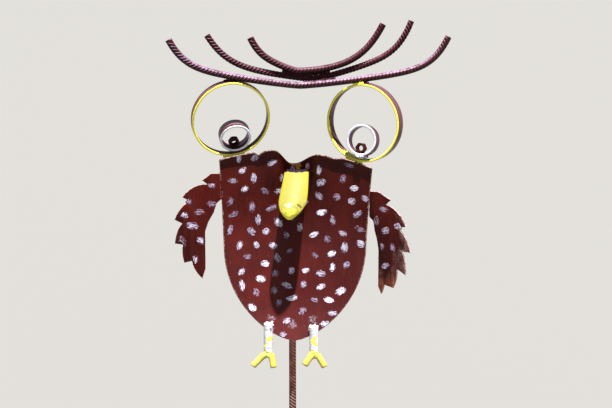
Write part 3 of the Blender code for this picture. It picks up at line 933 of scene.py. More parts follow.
def torch_cut(points, step, wander, seed):
    """Walk an outline in short steps, nudging each sideways by up to the torch's wander."""
    walked = []
    for a, b in zip(points, points[1:] + points[:1]):
        count = max(1, round((b - a).length / step))
        across = Vector((-(b - a).y, (b - a).x)).normalized()
        for i in range(count):
            p = a.lerp(b, i / count)
            nudge = noise.noise(Vector((p.x * 420, p.y * 420, seed)))
            walked.append(p + across * wander * (nudge * 0.5 + 0.5) * (0.3 if i == 0 else 1.0))
    return walked


# %% Cut the wings
def wing_place(node):
    """The matrix that turns a wing about its weld and puts it in place."""
    side, place, turn = WINGS[node][:3]
    return Matrix.Translation(Vector(place) * MM) @ Matrix.Rotation(
        -side * math.radians(turn), 4, "Z")


def outwards(side, face):
    """A face's points in the order that makes it face outwards on this side."""
    return face if side < 0 else face[::-1]


def wing_plate(node, outline):
    """A closed plate with its cut faces in the second material slot."""
    side, place, count = WINGS[node][0], wing_place(node), len(outline)
    points = [place @ Vector((side * p.x, d, -p.y))
              for d in (-WING_SHEET / 2, WING_SHEET / 2) for p in outline]
    front, back = list(range(count)), list(range(count, 2 * count))
    faces = [outwards(side, front), outwards(side, back[::-1])]
    faces += [outwards(side, (front[i], back[i], back[n], front[n])) for i, n in loop(count)]
    obj = mesh_object(node + "_plate", points, faces)
    for polygon in obj.data.polygons:
        polygon.material_index = 1 if polygon.index > 1 else 0
    bevel = obj.modifiers.new("rounded", "BEVEL")
    bevel.width = 0.45 * MM
    bevel.segments = 2
    bevel.limit_method = "ANGLE"
    bevel.angle_limit = math.radians(60)
    harden(obj)
    obj.data.set_sharp_from_angle(angle=math.radians(40))
    return obj


wings = {}
for node, (side, _, _, *shape) in WINGS.items():
    outline = torch_cut(wing_outline(*shape), step=1.6 * MM, wander=0.5 * MM, seed=side * 5.0)
    wings[node] = wing_plate(node, outline)
    print("outline of", node, len(outline), "points")

# %% [markdown]
# The left wing is painted like the blade. The right wing has lost much of its paint towards the
# feather tips, where pale rust shows, and its lowest tips have gone orange. Its bare part grows
# with the distance from a point near the weld, broken up by noise, which is quicker than
# painting a mask and has no seams. The cut faces are bare steel gone brown, with some paint,
# and pale patches on them that are partly wear and partly a painted highlight where the edges
# catch the light.

# %% Wing paint
BARE_FROM = (0.118, -0.050, 0.450)      # the paint is whole round this point
BARE_START, BARE_FULL = 68 * MM, 106 * MM


def bare_tips_enamel():
    """Maroon that gives way to bare rust between two distances from a point."""
    p = lay_maroon(Paint("right wing enamel"), age=0.5, shade=0.5)
    flat = p.vmath("SUBTRACT", p.coords(), BARE_FROM)
    away = p.vmath("LENGTH", p.vmath("MULTIPLY", flat, (1.35, 1.35, 0.85)), which="Value")
    frayed = p.times_plus(p.patches(70, 0.15, 0.85, detail=6), 26 * MM, away)
    streaks = p.patches(60, 0.25, 0.6, stretch=(5, 5, 0.8), detail=4, shift=5)
    bare = p.times(p.span(frayed, BARE_START, BARE_FULL), streaks)
    rust = p.mix(p.patches(90, 0.3, 0.7, detail=6, shift=2), (0.160, 0.066, 0.054),
                 (0.31, 0.185, 0.165))
    rust = p.mix(p.times(p.patches(210, 0.5, 0.7, shift=7), 0.6), rust, (0.34, 0.27, 0.25))
    rust = p.mix(p.span(p.up(), 372 * MM, 404 * MM, 0.85, 0.0), rust, (0.46, 0.120, 0.060))
    p.coat(bare, rust, 0.85)
    p.roughness = p.span(bare, 0.0, 1.0, 0.42, 0.75)
    return p.finish(0.3 * MM)


def cut_edge():
    """Torch-cut steel gone brown, with paint in places and pale patches that are partly a painted
    highlight.
    """
    p = lay_maroon(Paint("torch-cut edge"), age=1.0)
    # Pale patches: wear, and also a painted highlight along the cut edges.
    worn = p.mix(p.patches(300, 0.35, 0.65, shift=3), (0.22, 0.165, 0.155), (0.38, 0.31, 0.30))
    p.coat(p.patches(160, 0.3, 0.5, detail=5, shift=1), worn)
    p.roughness = 0.6
    return p.finish(0.35 * MM)


wings["left_wing"].data.materials.append(
    lay_maroon(Paint("left wing enamel"), age=0.2, shade=0.33).finish())
wings["right_wing"].data.materials.append(bare_tips_enamel())
CUT_EDGE = cut_edge()
keep(wings["left_wing"], CUT_EDGE, "maroon_paint", "left_wing")
keep(wings["right_wing"], CUT_EDGE, "rusty_maroon_paint", "right_wing")

# %% [markdown]
# ## Beak
# The beak is a tongue cut from half a pipe, bulging to the front and closing to a blunt nub. Its
# tip stands well in front of the blade. A box could be pushed into that shape, but a grid from a
# rule keeps the sheet's thickness even: it is laid out as a grid and thickened with the same
# function as the blade.

# %% Beak
BEAK_SHEET = 3.0 * MM
BEAK_HALF_TOP, BEAK_HALF_WIDE, BEAK_BULGE = 17.3 * MM, 19.5 * MM, 9.0 * MM
BEAK_NUB, BEAK_BOW = 4.6 * MM, 1.2 * MM
CORNER_CUT = 3.5 * MM
# Shares of the way down: where the cut corners end, where it is widest, where the nub begins.
CORNERS_END, WIDEST, NUB_FROM = 0.09, 0.6, 0.9
BEAK_TOP = Vector((7.0, -20.5, 535.0)) * MM
BEAK_TIP = Vector((-4.1, -76.0, 471.0)) * MM


def beak_half_width(down):
    """Half width at a share of the way down, widest low and closing to a blunt nub."""
    wide = BEAK_HALF_TOP + (BEAK_HALF_WIDE - BEAK_HALF_TOP) * ease(down / WIDEST)
    if down < CORNERS_END:
        wide -= CORNER_CUT * (1 - down / CORNERS_END) ** 2
    if down > WIDEST:
        wide *= (1.0 - 0.99 * ((down - WIDEST) / (1.0 - WIDEST)) ** 2) ** 0.8
    nub = 1.02 - ((down - NUB_FROM) / (1.0 - NUB_FROM)) ** 2
    return max(wide, BEAK_NUB * math.sqrt(nub)) if down > NUB_FROM else wide


def beak_middle(rows_down, columns):
    points, faces, rim, rows = [], [], [], []
    for r in range(rows_down + 1):
        down = r / rows_down
        middle = BEAK_TOP.lerp(BEAK_TIP, down)
        depth = BEAK_TIP.y + (BEAK_TOP.y - BEAK_TIP.y) * (1.0 - down) ** 1.5
        half = beak_half_width(down)
        rows.append([])
        for c in range(columns + 1):
            across = 2 * c / columns - 1
            bulge = BEAK_BULGE * (half / BEAK_HALF_WIDE) * (1 - across * across)
            rows[-1].append(len(points))
            x = middle.x + BEAK_BOW * math.sin(math.pi * down) + half * across
            points.append((x, depth - bulge, middle.z))
            rim.append(half * (1 - abs(across)))
    for high, low in zip(rows, rows[1:]):
        faces += [(low[c], low[c + 1], high[c + 1], high[c]) for c in range(columns)]
    return points, faces, rim, rows


points, faces, rim, rows = beak_middle(rows_down=46, columns=28)
beak_ground = mesh_object("beak_ground", points, faces, {"rim": rim})
beak = thicken("yellow_beak", beak_ground, rows[::-1], BEAK_SHEET, bulge=0.9 * MM)
bpy.data.objects.remove(beak_ground)
print("beak grid:", len(points), "points")

# %% [markdown]
# Light enamel is thinner in some places than in others, with brush marks and a few specks of
# maroon. The toes and the bright welds share one function for it. The beak has its own: lemon,
# deeper towards its edges, and painted lighter and yellower low down and at its tip, as painted
# light where its surface turns down, away from the lamp. It has small dashes low down, a pale
# place low on it that is a painted highlight, a few scratches, and the blade's dark paint over
# its top edge.

# %% Yellow and white enamel
BEAK_HIGHLIGHT_AT = (-4.2, -76.3, 490.8)         # in millimetres, as are the next
BEAK_SCRATCHES_AT = ((9.3, -74.6, 491.3), (11.0, -74.4, 489.6), (12.8, -74.1, 487.8))


def bright_enamel(name, bright, shade, speck, specks_from, gloss):
    """A light enamel with thin places, brush marks and specks of another colour."""
    p = Paint(name)
    along = (7, 7, 0.7)
    p.colour = p.mix(p.patches(45, 0.3, 0.75), bright, shade)
    p.coat(p.patches(40, 0.45, 0.75, stretch=along, detail=3, shift=2.5), shade, 0.35)
    p.coat(p.patches(190, specks_from, specks_from + 0.04, detail=3, shift=6.6), speck, 0.8)
    brushed = p.patches(60, 0.2, 0.8, stretch=along, detail=2, shift=0.4)
    p.height = p.times_plus(brushed, 0.4, p.patches(150, 0.2, 0.8, detail=3, shift=1.2))
    p.roughness = p.span(p.patches(80, 0.3, 0.7, shift=4), 0, 1, gloss, gloss + 0.15)
    return p.finish(0.25 * MM, 0.3)


def beak_enamel():
    p = Paint("beak enamel")
    up = p.up()
    low = p.span(up, 484 * MM, 500 * MM, 1.0, 0.0)
    p.colour = p.mix(p.patches(45, 0.3, 0.75), LEMON, LEMON_DEEP)
    strokes = p.patches(90, 0.52, 0.66, stretch=(1, 1, 3.4), detail=3, shift=2.5)
    p.coat(strokes, LEMON_DEEP, 0.25)
    p.coat(p.span(p.stored("rim"), 0.0, 10 * MM, 0.8, 0.0), (0.27, 0.235, 0.012))
    # Painted light: the lower part and the tip are made lighter and yellower, where the surface
    # turns down.
    p.coat(low, (0.36, 0.34, 0.09), 0.4)
    p.coat(p.span(up, 471 * MM, 488 * MM, 1.0, 0.0), (0.80, 0.74, 0.07))
    # Painted highlight: a pale place low on the beak.
    p.coat(p.spot(BEAK_HIGHLIGHT_AT, 8.0, 7.0, 5.0), (0.50, 0.50, 0.24), 0.5)
    p.coat(p.spot(BEAK_HIGHLIGHT_AT, 4.2, 4.0, 3.0), (0.85, 0.85, 0.70), 0.8)
    dashes = p.patches(300, 0.57, 0.61, stretch=(1, 1, 2.2), detail=2, shift=6)
    p.coat(p.times(dashes, low), (0.16, 0.11, 0.02), 0.7)
    for place in BEAK_SCRATCHES_AT:
        p.coat(p.spot(place, 1.7, 1.0, 1.0), (0.05, 0.03, 0.01))
    ragged = p.times_plus(p.patches(200, 0.3, 0.7, shift=2), 1.2 * MM, up)
    p.coat(p.span(ragged, 533.2 * MM, 533.8 * MM), (0.014, 0.006, 0.012))
    p.height = p.patches(150, 0.2, 0.8, detail=3, shift=1.2)
    p.roughness = 0.46
    return p.finish(0.2 * MM)


SPECK_BROWN, SPECK_MAROON = (0.13, 0.05, 0.02), (0.10, 0.03, 0.02)
YELLOW_ENAMEL = bright_enamel("yellow enamel", SUNNY, SUNNY_DEEP, SPECK_BROWN,
                              specks_from=0.73, gloss=0.22)
keep(beak, beak_enamel(), "yellow_paint", "beak")

# %% [markdown]
# ## Legs and toes
# The legs are two short stubs of thick bar, painted white with a few strokes of yellow, and the
# toes are four smaller stubs in yellow. They are so thickly painted that their ribs are hidden.
# A beveled cylinder would be too straight, so one function makes both: rings of points along a
# line, drawn in at the blunt ends and swollen here and there by lumps of paint.

# %% Legs
LEG_RADIUS = 6.7 * MM
BLUNT, SOFT_END, LUMP, LUMPS = 0.72, 2.2 * MM, 0.06, 210
LEGS = {
    "left_leg": ((-35.5, -40.7, 309.0), (-35.6, -40.7, 264.0)),
    "right_leg": ((32.1, -40.7, 304.5), (32.2, -40.7, 262.5)),
}
LEG_STROKES = (((-34.5, -47.5, 284.5), 5.2), ((-31.5, -47.0, 287.0), 5.0),
               ((-40.0, -45.0, 276.0), 4.6), ((33.5, -47.5, 286.5), 5.0),
               ((30.0, -47.5, 282.0), 5.2), ((34.0, -47.0, 278.0), 5.2))


def stub(name, root, tip, radius, rings=26, sides=24):
    """A short round stub with blunt, softened ends, and lumps of paint."""
    root, tip = Vector(root) * MM, Vector(tip) * MM
    turn = Vector((0, 0, 1)).rotation_difference(tip - root)
    points, faces = [root.copy()], []
    for r in range(1, rings):
        share = (1 - math.cos(math.pi * r / rings)) / 2
        end = min(share, 1 - share) * (tip - root).length / SOFT_END
        size = radius * (BLUNT + (1 - BLUNT) * math.sqrt(1 - (1 - min(end, 1.0)) ** 2))
        for s in range(sides):
            angle = 2 * math.pi * s / sides
            arm = turn @ Vector((math.cos(angle), math.sin(angle), 0))
            lump = LUMP * noise.noise((root.lerp(tip, share) + arm * size) * LUMPS)
            points.append(root.lerp(tip, share) + arm * size * (1.0 + lump))
    points.append(tip.copy())
    for s, t in loop(sides):
        faces.append((0, 1 + t, 1 + s))
        for a in range(1, 1 + (rings - 2) * sides, sides):
            faces.append((a + s, a + t, a + sides + t, a + sides + s))
        a = 1 + (rings - 2) * sides
        faces.append((a + s, a + t, len(points) - 1))
    return mesh_object(name, points, faces)


def leg_enamel():
    """White with strokes of yellow, and all yellow at the foot."""
    p = Paint("leg enamel")
    p.colour = p.mix(p.patches(120, 0.35, 0.85), WHITE, (0.48, 0.45, 0.44))
    wave = p.times_plus(p.patches(120, 0.2, 0.8, shift=3), 7 * MM, p.up())
    yellow = p.span(wave, 270.5 * MM, 272.0 * MM, 1.0, 0.0)
    for place, radius in LEG_STROKES:
        yellow = p.math("MAXIMUM", yellow, p.spot(place, radius, 3.0, radius))
    p.coat(yellow, YELLOW)
    p.height = p.patches(220, 0.2, 0.8, detail=3, shift=1.2)
    p.roughness = 0.33
    return p.finish(0.25 * MM, 0.3)


LEG_ENAMEL = leg_enamel()
for node, (top, foot) in LEGS.items():
    leg = stub(node + "_stub", top, foot, LEG_RADIUS, rings=40, sides=32)
    keep(leg, LEG_ENAMEL, "white_paint", node)

# %% Toes
TOES = {
    "left_toe_outer": ((-40.8, -42.5, 262.1), (-58.8, -49.5, 245.2)),
    "left_toe_inner": ((-31.2, -44.5, 262.2), (-27.4, -52.5, 243.6)),
    "right_toe_inner": ((28.2, -44.0, 260.7), (18.4, -50.5, 246.6)),
    "right_toe_outer": ((37.2, -42.0, 261.1), (48.6, -49.0, 243.6)),
}
for node, (root, tip) in TOES.items():
    keep(stub(node + "_stub", root, tip, BAR_RADIUS), YELLOW_ENAMEL, "yellow_paint", node)

# %% [markdown]
# ## Welds
# A weld bead is a row of small overlapping puddles. A plain tube along the seam would look like
# putty, so Geometry Nodes lay the puddles: points are set along each seam at their pitch, a
# flattened ball is put on each with a random size and place, and the balls are roughened with
# noise. One tree makes every bead, and only the sizes and the paint change.

# %% The weld bead tree
def random_vector(g, low, high, seed):
    return g.out("FunctionNodeRandomValue", {0: low, 1: high, "Seed": seed},
                 data_type="FLOAT_VECTOR")


def ball(g, fineness):
    return g.geo("MeshIcoSphere", {"Radius": 1.0, "Subdivisions": fineness})


PUDDLE_LEAST, PUDDLE_MOST = (0.40, 0.40, 0.30), (0.62, 0.62, 0.45)    # in bead widths
ROUGHENED = 1.6 * MM            # from the deepest to the highest of a puddle's bumps


def weld_bead_tree():
    g, size = new_tree("weld bead", {
        "Bead Width": 5 * MM, "Bead Pitch": 2 * MM, "Wander": 0.5 * MM, "Seed": 1})
    line = g.geo("MeshToCurve", {0: size["Geometry"]})
    spots = g.add("GeometryNodeCurveToPoints", {"Curve": line, "Length": size["Bead Pitch"]},
                  mode="LENGTH").outputs
    drift = g.scaled(random_vector(g, (-1, -1, -1), (1, 1, 1), size["Seed"]), size["Wander"])
    moved = g.geo("SetPosition", {"Geometry": spots[0], "Offset": drift})
    spread = random_vector(g, PUDDLE_LEAST, PUDDLE_MOST, size["Seed"])
    puddles = g.geo("InstanceOnPoints", {
        "Points": moved, "Instance": ball(g, 2), "Rotation": spots["Rotation"],
        "Scale": g.scaled(spread, size["Bead Width"])})
    real = g.geo("RealizeInstances", {0: puddles})
    cloud = g.out("ShaderNodeTexNoise", {"Vector": g.geo("InputPosition"), "Scale": 380.0})
    swell = g.times(g.math("SUBTRACT", cloud, 0.5), ROUGHENED)
    push = g.scaled(g.geo("InputNormal"), swell)
    rough = g.geo("SetPosition", {"Geometry": real, "Offset": push})
    return end_tree(g, rough, size["Paint"])


WELD_BEAD = weld_bead_tree()
print("tree:", WELD_BEAD.name, len(WELD_BEAD.nodes), "nodes")


def weld(name, lines, width, pitch, wander, seed, paint, finish):
    bead = lines_object(name, lines)
    run_tree(bead, WELD_BEAD, {"Bead Width": width * MM, "Bead Pitch": pitch * MM,
                               "Wander": wander * MM, "Seed": seed, "Paint": paint})
    keep(bead, None, finish)


# %% [markdown]
# The welds at the eyes were painted with the rims: yellow where the slices meet the blade and
# the low brow, white where the right iris slice lies in its ring. Those in the shade behind are
# maroon. Each seam is an arc about the axis of its ring, so it is given by how far outside the
# ring's surface it lies, how far behind the front rim, and the angles between which it runs.

# %% Welds of the eyes
LEFT_RING, RIGHT_RING = EYES["left"][1], EYES["right"][1]
LEFT_IRIS, RIGHT_IRIS = EYES["left"][2], EYES["right"][2]
RIM_YELLOW = bright_enamel("rim yellow", YELLOW, YELLOW_DEEP, SPECK_BROWN,
                           specks_from=0.73, gloss=0.3)
WHITE_ENAMEL = bright_enamel("white enamel", WHITE, WHITE_GREY, SPECK_MAROON,
                             specks_from=0.72, gloss=0.3)


def arc_on_ring(ring, radius, outside, back, start, end, steps=12):
    """Points on a circle about a ring's axis, between two angles."""
    place, reach = facing(*ring), radius + outside * MM
    angles = [math.radians(start + (end - start) * i / steps) for i in range(steps + 1)]
    return [place @ Vector((reach * math.cos(a), reach * math.sin(a), -back * MM))
            for a in angles]


def ring_weld(name, radius, arcs, **bead):
    """A weld along arcs: each has its ring, millimetres outside and behind, and two angles."""
    weld(name, [arc_on_ring(ring, radius, *arc) for ring, *arc in arcs], **bead)


ring_weld("eye_foot_welds", EYE_RADIUS, (
    (LEFT_RING, 0.4, 1.5, 262, 292), (LEFT_RING, 1.0, 6, 266, 290),
    (RIGHT_RING, 0.2, 2, 243, 268), (RIGHT_RING, 0.2, 9, 244, 262)),
    width=5.0, pitch=1.9, wander=0.5, seed=3, paint=RIM_YELLOW, finish="yellow_paint")
ring_weld("eye_brow_welds", EYE_RADIUS, ((RIGHT_RING, 0.6, 2.5, 90, 104),),
          width=4.4, pitch=1.9, wander=0.5, seed=4, paint=RIM_YELLOW, finish="yellow_paint")
ring_weld("eye_brow_dark_welds", EYE_RADIUS, (
    (LEFT_RING, 0.6, 9, 84, 102), (RIGHT_RING, 0.6, 9, 84, 98)),
    width=4.2, pitch=1.9, wander=0.4, seed=5, paint=MAROON, finish="maroon_paint")
ring_weld("iris_foot_welds", IRIS_RADIUS, (
    (RIGHT_IRIS, 0.6, 0.6, 254, 280), (RIGHT_IRIS, 1.6, 5.0, 254, 286)),
    width=4.4, pitch=2.0, wander=0.9, seed=6, paint=WHITE_ENAMEL, finish="white_paint")
ring_weld("iris_seat_welds", IRIS_RADIUS, (
    (LEFT_IRIS, 0.3, 12, 262, 300), (RIGHT_IRIS, 1.5, 13, 250, 286)),
    width=3.6, pitch=1.8, wander=0.4, seed=7, paint=MAROON, finish="maroon_paint")
ring_weld("nut_welds", IRIS_RADIUS - IRIS_WALL, (
    (LEFT_IRIS, -0.3, 13, 255, 285), (RIGHT_IRIS, -0.3, 10, 250, 278)),
    width=2.6, pitch=1.5, wander=0.3, seed=8, paint=MAROON, finish="maroon_paint")

# %% [markdown]
# The other welds are maroon like the steel round them: in the crooks between the brows, down the
# straight edges of the wings, and along the back where the stake is welded into the groove of
# the blade. Their seams are worked out from the pieces that they join, so they can't miss them.
# The feet are welded in yellow and the tops of the legs in white.

# %% Welds of brows, wings and stake
def brow_stretch(node, low_x, high_x, steps=14):
    """Evenly spaced points along a brow between two places across."""
    line = brow_line(*BROWS[node][:3])
    found = []
    for i in range(steps + 1):
        x = (low_x + (high_x - low_x) * i / steps) * MM
        found.append(min(line, key=lambda p: abs(p.x - x)))
    return found


def between_brows(first, second, low_x, high_x):
    """Points halfway between two brows, over the stretch where they nearly touch."""
    return [a.lerp(b, 0.5) for a, b in zip(brow_stretch(first, low_x, high_x),
                                           brow_stretch(second, low_x, high_x))]


def wing_seam(node):
    """Points down a wing's straight edge, just behind the plate."""
    place, side = wing_place(node), WINGS[node][0]
    return [place @ Vector((side * -0.2 * MM, 1.9 * MM, -WING_TAB * (0.06 + 0.88 * i / 12)))
            for i in range(13)]


SEAM_OUT, SEAM_ASIDE, SEAM_SUNK = 4.4 * MM, 1.2 * MM, 1.0 * MM
STAKE_WELDS = ((150, 178), (196, 236))      # heights above the blade's tip, in millimetres


def stake_seam(hand, low, high):
    """Points beside the stake, against the back of the blade's groove."""
    seam = []
    for i in range(13):
        height = (low + (high - low) * i / 12) * MM
        back = Vector((0.0, blade_depth(0.0, height) + BLADE_SHEET / 2, BLADE_TIP.z + height))
        seam.append(Vector((hand * SEAM_OUT + SEAM_ASIDE, (back.y - SEAM_SUNK) * 0.75, back.z)))
    return seam


weld("brow_welds", [between_brows("brow_bar_low", "brow_bar_middle", 18, 62),
                    between_brows("brow_bar_middle", "brow_bar_top", -12, 54)],
     width=4.9, pitch=2.0, wander=0.5, seed=9, paint=BAR_ENAMEL, finish="maroon_paint")
weld("wing_welds", [wing_seam(node) for node in WINGS],
     width=6.4, pitch=2.0, wander=0.5, seed=10, paint=MAROON, finish="maroon_paint")
weld("stake_welds", [stake_seam(hand, *ends) for hand in (-1, 1) for ends in STAKE_WELDS],
     width=5.0, pitch=2.1, wander=0.5, seed=11, paint=WEATHERED_SHADED, finish="rusty_maroon_paint")


# %% Welds of the feet and legs
def foot_crook(leg, toes, down):
    """A path across the bottom of a leg from toe to toe, some share of the way down them."""
    foot = Vector(LEGS[leg][1]) * MM
    first, last = [(Vector(TOES[t][0]) * MM).lerp(Vector(TOES[t][1]) * MM, down) for t in toes]
    return [first, foot.lerp((first + last) / 2, 0.6) + Vector((0, -1.5 * MM, 0)), last]


def leg_top_arc(leg, start, end, up):
    """Points round a leg's top between two angles, where it meets the blade."""
    top = Vector(LEGS[leg][0]) * MM
    return [top + Vector(((LEG_RADIUS - 1.2 * MM) * math.cos(math.radians(a)),
                          (LEG_RADIUS - 1.5 * MM) * math.sin(math.radians(a)), up * MM))
            for a in range(start, end, 12)]


weld("foot_welds", [foot_crook(leg, toes, down) for down in (0.0, 0.2) for leg, toes in (
    ("left_leg", ("left_toe_outer", "left_toe_inner")),
    ("right_leg", ("right_toe_inner", "right_toe_outer")))],
    width=7.9, pitch=2.2, wander=0.5, seed=12, paint=YELLOW_ENAMEL, finish="yellow_paint")
weld("leg_welds", [
    leg_top_arc("left_leg", 10, 170, -2), leg_top_arc("right_leg", 10, 170, -2),
    leg_top_arc("left_leg", -60, 10, -7), leg_top_arc("right_leg", 170, 230, -5)],
    width=4.0, pitch=2.6, wander=1.8, seed=13, paint=WHITE_ENAMEL, finish="white_paint")

# %% [markdown]
# ## Dabs of white paint
# The feathers of the owl's breast are suggested by dabs of white, each one touch of a nearly dry
# brush: streaky, ragged, no two alike. They could be spots in the blade's material, but real
# dabs stand a little proud. They repeat over a surface, so Geometry Nodes scatter them. A ball is
# dropped on each scattered point with a random turn and size, and then pressed flat onto the
# sheet, a tenth of a millimetre proud. Each ball keeps its own coordinates and two random
# numbers, so its paint can draw bristle marks along it.

# %% The paint dab tree
DABS_FROM_EDGE = 3.5 * MM
DABS_TRIED = 9000.0             # per square metre, before those too near each other go
SUNK, BED = 0.5 * MM, 0.02 * MM


def paint_dab_tree():
    g, size = new_tree("paint dabs", {
        "Spacing": 19 * MM, "Length": 12 * MM, "Width": 8 * MM, "Thickness": 0.12 * MM,
        "Boldest": 1.0, "Seed": 1})
    ground = size["Geometry"]
    zone = g.geo("InputNamedAttribute", {"Name": "rim"}, data_type="FLOAT")
    inside = g.out("FunctionNodeCompare", {0: zone, 1: DABS_FROM_EDGE}, data_type="FLOAT",
                   operation="GREATER_THAN")
    spots = g.add("GeometryNodeDistributePointsOnFaces", {
        "Mesh": ground, "Selection": inside, "Distance Min": size["Spacing"],
        "Density Max": DABS_TRIED, "Seed": size["Seed"]}, distribute_method="POISSON").outputs
    marked = store(g, ball(g, 3), "dab_place", g.geo("InputPosition"), "FLOAT_VECTOR")

    def chance(low, high, extra):
        return g.out("FunctionNodeRandomValue",
                     {2: low, 3: high, "Seed": g.math("ADD", size["Seed"], extra)}, 1,
                     data_type="FLOAT")

    spin = g.out("FunctionNodeAxisAngleToRotation",
                 {"Axis": (0, 0, 1), "Angle": chance(0.0, 2 * math.pi, 11)})
    turned_by = g.out("FunctionNodeRotateRotation",
                      {"Rotation": spots["Rotation"], "Rotate By": spin}, rotation_space="LOCAL")
    scale = g.vector(g.times(size["Length"], chance(0.42, 0.68, 21)),
                     g.times(size["Width"], chance(0.42, 0.62, 31)), 0.4 * MM)
    dabs = g.geo("InstanceOnPoints", {
        "Points": spots[0], "Instance": marked, "Rotation": turned_by, "Scale": scale})
    for label, most, extra in (("dab_chance", 1.0, 41), ("dab_strength", size["Boldest"], 51)):
        dabs = store(g, dabs, label, chance(0.0, most, extra), domain="INSTANCE")
    real = g.geo("RealizeInstances", {0: dabs})
    # Lay each ball onto the sheet: the nearest point of the sheet, raised along its normal.
    nearest = g.geo("Proximity", {0: ground}, "Position", target_element="FACES")
    upward = g.geo("SampleNearestSurface",
                   {"Mesh": ground, "Value": g.geo("InputNormal")},
                   data_type="FLOAT_VECTOR")
    own = g.geo("InputNamedAttribute", {"Name": "dab_place"}, data_type="FLOAT_VECTOR")
    level = g.split(own)[2]
    proud = g.times(g.math("MAXIMUM", level, 0.0), size["Thickness"])
    sunk = g.times(g.math("MINIMUM", level, 0.0), SUNK)
    lift = g.math("SUBTRACT", g.math("ADD", proud, sunk), BED)
    where = g.vmath("ADD", nearest, g.scaled(upward, lift))
    laid = g.geo("SetPosition", {"Geometry": real, "Position": where})
    return end_tree(g, laid, size["Paint"])


PAINT_DABS = paint_dab_tree()
print("tree:", PAINT_DABS.name, len(PAINT_DABS.nodes), "nodes")

# %% [markdown]
# The dab's paint starts as the same maroon, so its ragged outline melts into the blade. White
# covers it where the brush pressed: most in the middle, less towards the ends, and broken by
# streaks that run along the dab. Thin white over maroon looks lilac, so weak places are mixed
# rather than cut. The noise is read in the dab's own coordinates, moved by its own random
# number, so no two dabs share a streak.

# %% Dry-brushed white
def dry_brush_enamel():
    p = lay_maroon(Paint("dry-brushed white"))
    own = p.stored("dab_place", "Vector")
    chance, strength = p.stored("dab_chance"), p.stored("dab_strength")
    here = p.vmath("ADD", own, p.vector(p.times(chance, 37.0), p.times(chance, 91.0)))

    def own_noise(scale, stretch, detail):
        mapped = p.out("ShaderNodeMapping", {"Vector": here, "Scale": stretch})
        return p.out("ShaderNodeTexNoise", {"Vector": mapped, "Scale": scale, "Detail": detail})

    bristles = own_noise(2.6, (0.45, 1.5, 1.0), 2.0)
    ragged = own_noise(3.4, (1.0, 1.0, 1.0), 4.0)
    x, y, _ = p.split(own)
    reach = p.vmath("LENGTH", p.vector(x, y), which="Value")
    body = p.math("SUBTRACT", 0.62, p.times(reach, reach))
    body = p.times_plus(p.math("SUBTRACT", ragged, 0.5), 2.9, body)
    pressed = p.times_plus(p.math("SUBTRACT", bristles, 0.5), 4.2, body)
    pressed = p.math("ADD", pressed, p.span(strength, 0.0, 1.0, -0.10, 0.30))
    inside = p.span(reach, 0.90, 0.98, 1.0, 0.0)
    cover = p.times(p.span(pressed, -0.08, 0.58), inside)
    cover = p.times(cover, p.span(strength, 0.0, 0.8, 0.55, 1.0))
    thick = p.mix(strength, (0.42, 0.41, 0.56), (0.62, 0.62, 0.74))
    p.coat(cover, p.mix(cover, (0.22, 0.19, 0.36), thick))
    p.height = p.times_plus(cover, p.times(bristles, 1.2), p.height)
    p.roughness = p.times_plus(cover, 0.12, p.roughness)
    return p.finish()


DRY_BRUSH = dry_brush_enamel()
print("paint:", DRY_BRUSH.name)


# %% Scatter the dabs
def front_of(middle, thickness):
    """A copy of a sheet's middle surface, moved out to its front face."""
    copy = in_scene(middle.name + "_front", middle.data.copy())
    moved = [v.co + v.normal * thickness / 2 for v in copy.data.vertices]
    for v, place in zip(copy.data.vertices, moved):
        v.co = place
    return copy


DABS_OUT = {-1: 40 * MM, 1: 38 * MM}     # the middle of the dabs, out from each wing's weld


def wing_front(node, margin):
    """The front face of a wing, drawn in from its outline."""
    side, _, _, *shape = WINGS[node]
    place = wing_place(node)
    centre = Vector((DABS_OUT[side], WING_CENTRE_DOWN))
    points = [place @ Vector((side * p.x, -WING_SHEET / 2, -p.y))
              for p in (centre.lerp(q, margin) for q in wing_outline(*shape))]
    return mesh_object(node + "_front", points, [outwards(side, list(range(len(points))))],
                       {"rim": [RIM_SEEN] * len(points)})


# Name, ground, spacing, length, width, strength of the boldest dab, and seed.
dab_sets = (
    ("blade_dabs", front_of(blade_ground, BLADE_SHEET), 19.5, 14.8, 10.0, 1.0, 7),
    ("left_wing_dabs", wing_front("left_wing", 0.82), 19.0, 15.5, 10.5, 0.62, 3),
    ("right_wing_dabs", wing_front("right_wing", 0.8), 19.0, 14.5, 10.0, 0.5, 5),
)
for name, ground, spacing, length, width, boldest, seed in dab_sets:
    ground.name = name
    run_tree(ground, PAINT_DABS, {
        "Spacing": spacing * MM, "Length": length * MM, "Width": width * MM,
        "Thickness": 0.12 * MM, "Boldest": boldest, "Seed": seed, "Paint": DRY_BRUSH})
    keep(ground, None, "white_paint")
bpy.data.objects.remove(blade_ground)
keep(blade, None, "maroon_paint", "blade")

# %% [markdown]
# ## Onto the frame
# The owl is welded into one rigid thing, so every piece rides on the one body, and the solids
# that each piece stands for are hidden.

# %% Ride on the frame
for piece, finish, nodes in pieces:
    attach(piece, "root")
    if nodes:
        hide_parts(*nodes)
print(len(pieces), "pieces,", sum(triangles(p) for p, _, _ in pieces), "triangles")

# %% [markdown]
# ## Floor, light and camera
# The floor is plain and pale. One small hard-ish light stands high in front and a little to the
# right, so the beak throws a long shadow down the blade, and the pale surroundings fill the
# shade. A picture of a sky could light it too, but one lamp keeps the shadows crisp and easy to
# aim. The camera has a long lens and looks slightly down at the owl.

# %% Floor
FLOOR_RADIUS, FLOOR_SIDES, FLOOR_COLOUR = 60.0, 64, (0.145, 0.145, 0.142)


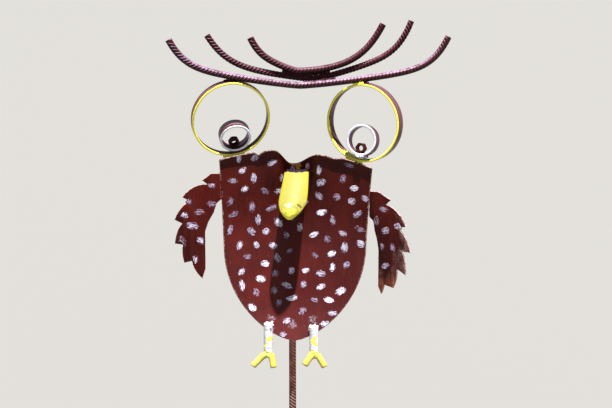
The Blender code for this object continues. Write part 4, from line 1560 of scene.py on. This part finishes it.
def studio_floor():
    angles = [2 * math.pi * i / FLOOR_SIDES for i in range(FLOOR_SIDES)]
    points = [Vector((FLOOR_RADIUS * math.cos(a), FLOOR_RADIUS * math.sin(a), 0)) for a in angles]
    floor = mesh_object("floor", points, [list(range(FLOOR_SIDES))])
    pale = Paint("pale floor")
    shader = pale.tree.nodes["Principled BSDF"].inputs
    pale.plug(shader["Base Color"], FLOOR_COLOUR)
    pale.plug(shader["Roughness"], 0.9)
    floor.data.materials.append(pale.material)
    print("floor:", 2 * FLOOR_RADIUS, "m across")


studio_floor()

# %% Light
SUN_TOWARDS = Vector((0.110, -0.325, 1.0))
SUN_STRENGTH, SUN_ANGLE, SUN_COLOUR = 15.3, 1.6, (1.0, 0.97, 0.93)
SKY_STRENGTH, SKY_COLOUR = 0.30, (0.84, 0.88, 1.0, 1)
key = bpy.data.lights.new("key", "SUN")
key.energy, key.angle, key.color = SUN_STRENGTH, math.radians(SUN_ANGLE), SUN_COLOUR
in_scene("key", key).rotation_euler = SUN_TOWARDS.to_track_quat("Z", "Y").to_euler()

world = bpy.data.worlds.new("pale room")
world.use_nodes = True
background = world.node_tree.nodes["Background"].inputs
background["Color"].default_value = SKY_COLOUR
background["Strength"].default_value = SKY_STRENGTH
bpy.context.scene.world = world
bpy.context.scene.view_settings.view_transform = "Standard"
print("light:", SUN_STRENGTH, "from", tuple(round(v, 3) for v in SUN_TOWARDS))

# %% Camera
CAMERA_AIM = Vector((0.0204, -0.045, 0.488))
CAMERA_DISTANCE = 2.1
CAMERA_ELEVATION = math.radians(9)
VIEW_WIDTH = 0.89352            # metres seen across at the aim's distance
camera = bpy.data.cameras.new("camera")
camera.sensor_width = 36
camera.lens = camera.sensor_width * CAMERA_DISTANCE / VIEW_WIDTH
camera.clip_end = 200
camera_object = in_scene("camera", camera)
camera_object.location = CAMERA_AIM + CAMERA_DISTANCE * Vector(
    (0, -math.cos(CAMERA_ELEVATION), math.sin(CAMERA_ELEVATION)))
camera_object.rotation_euler = (math.pi / 2 - CAMERA_ELEVATION, 0, 0)
bpy.context.scene.camera = camera_object
print("lens:", round(camera.lens, 1), "mm")
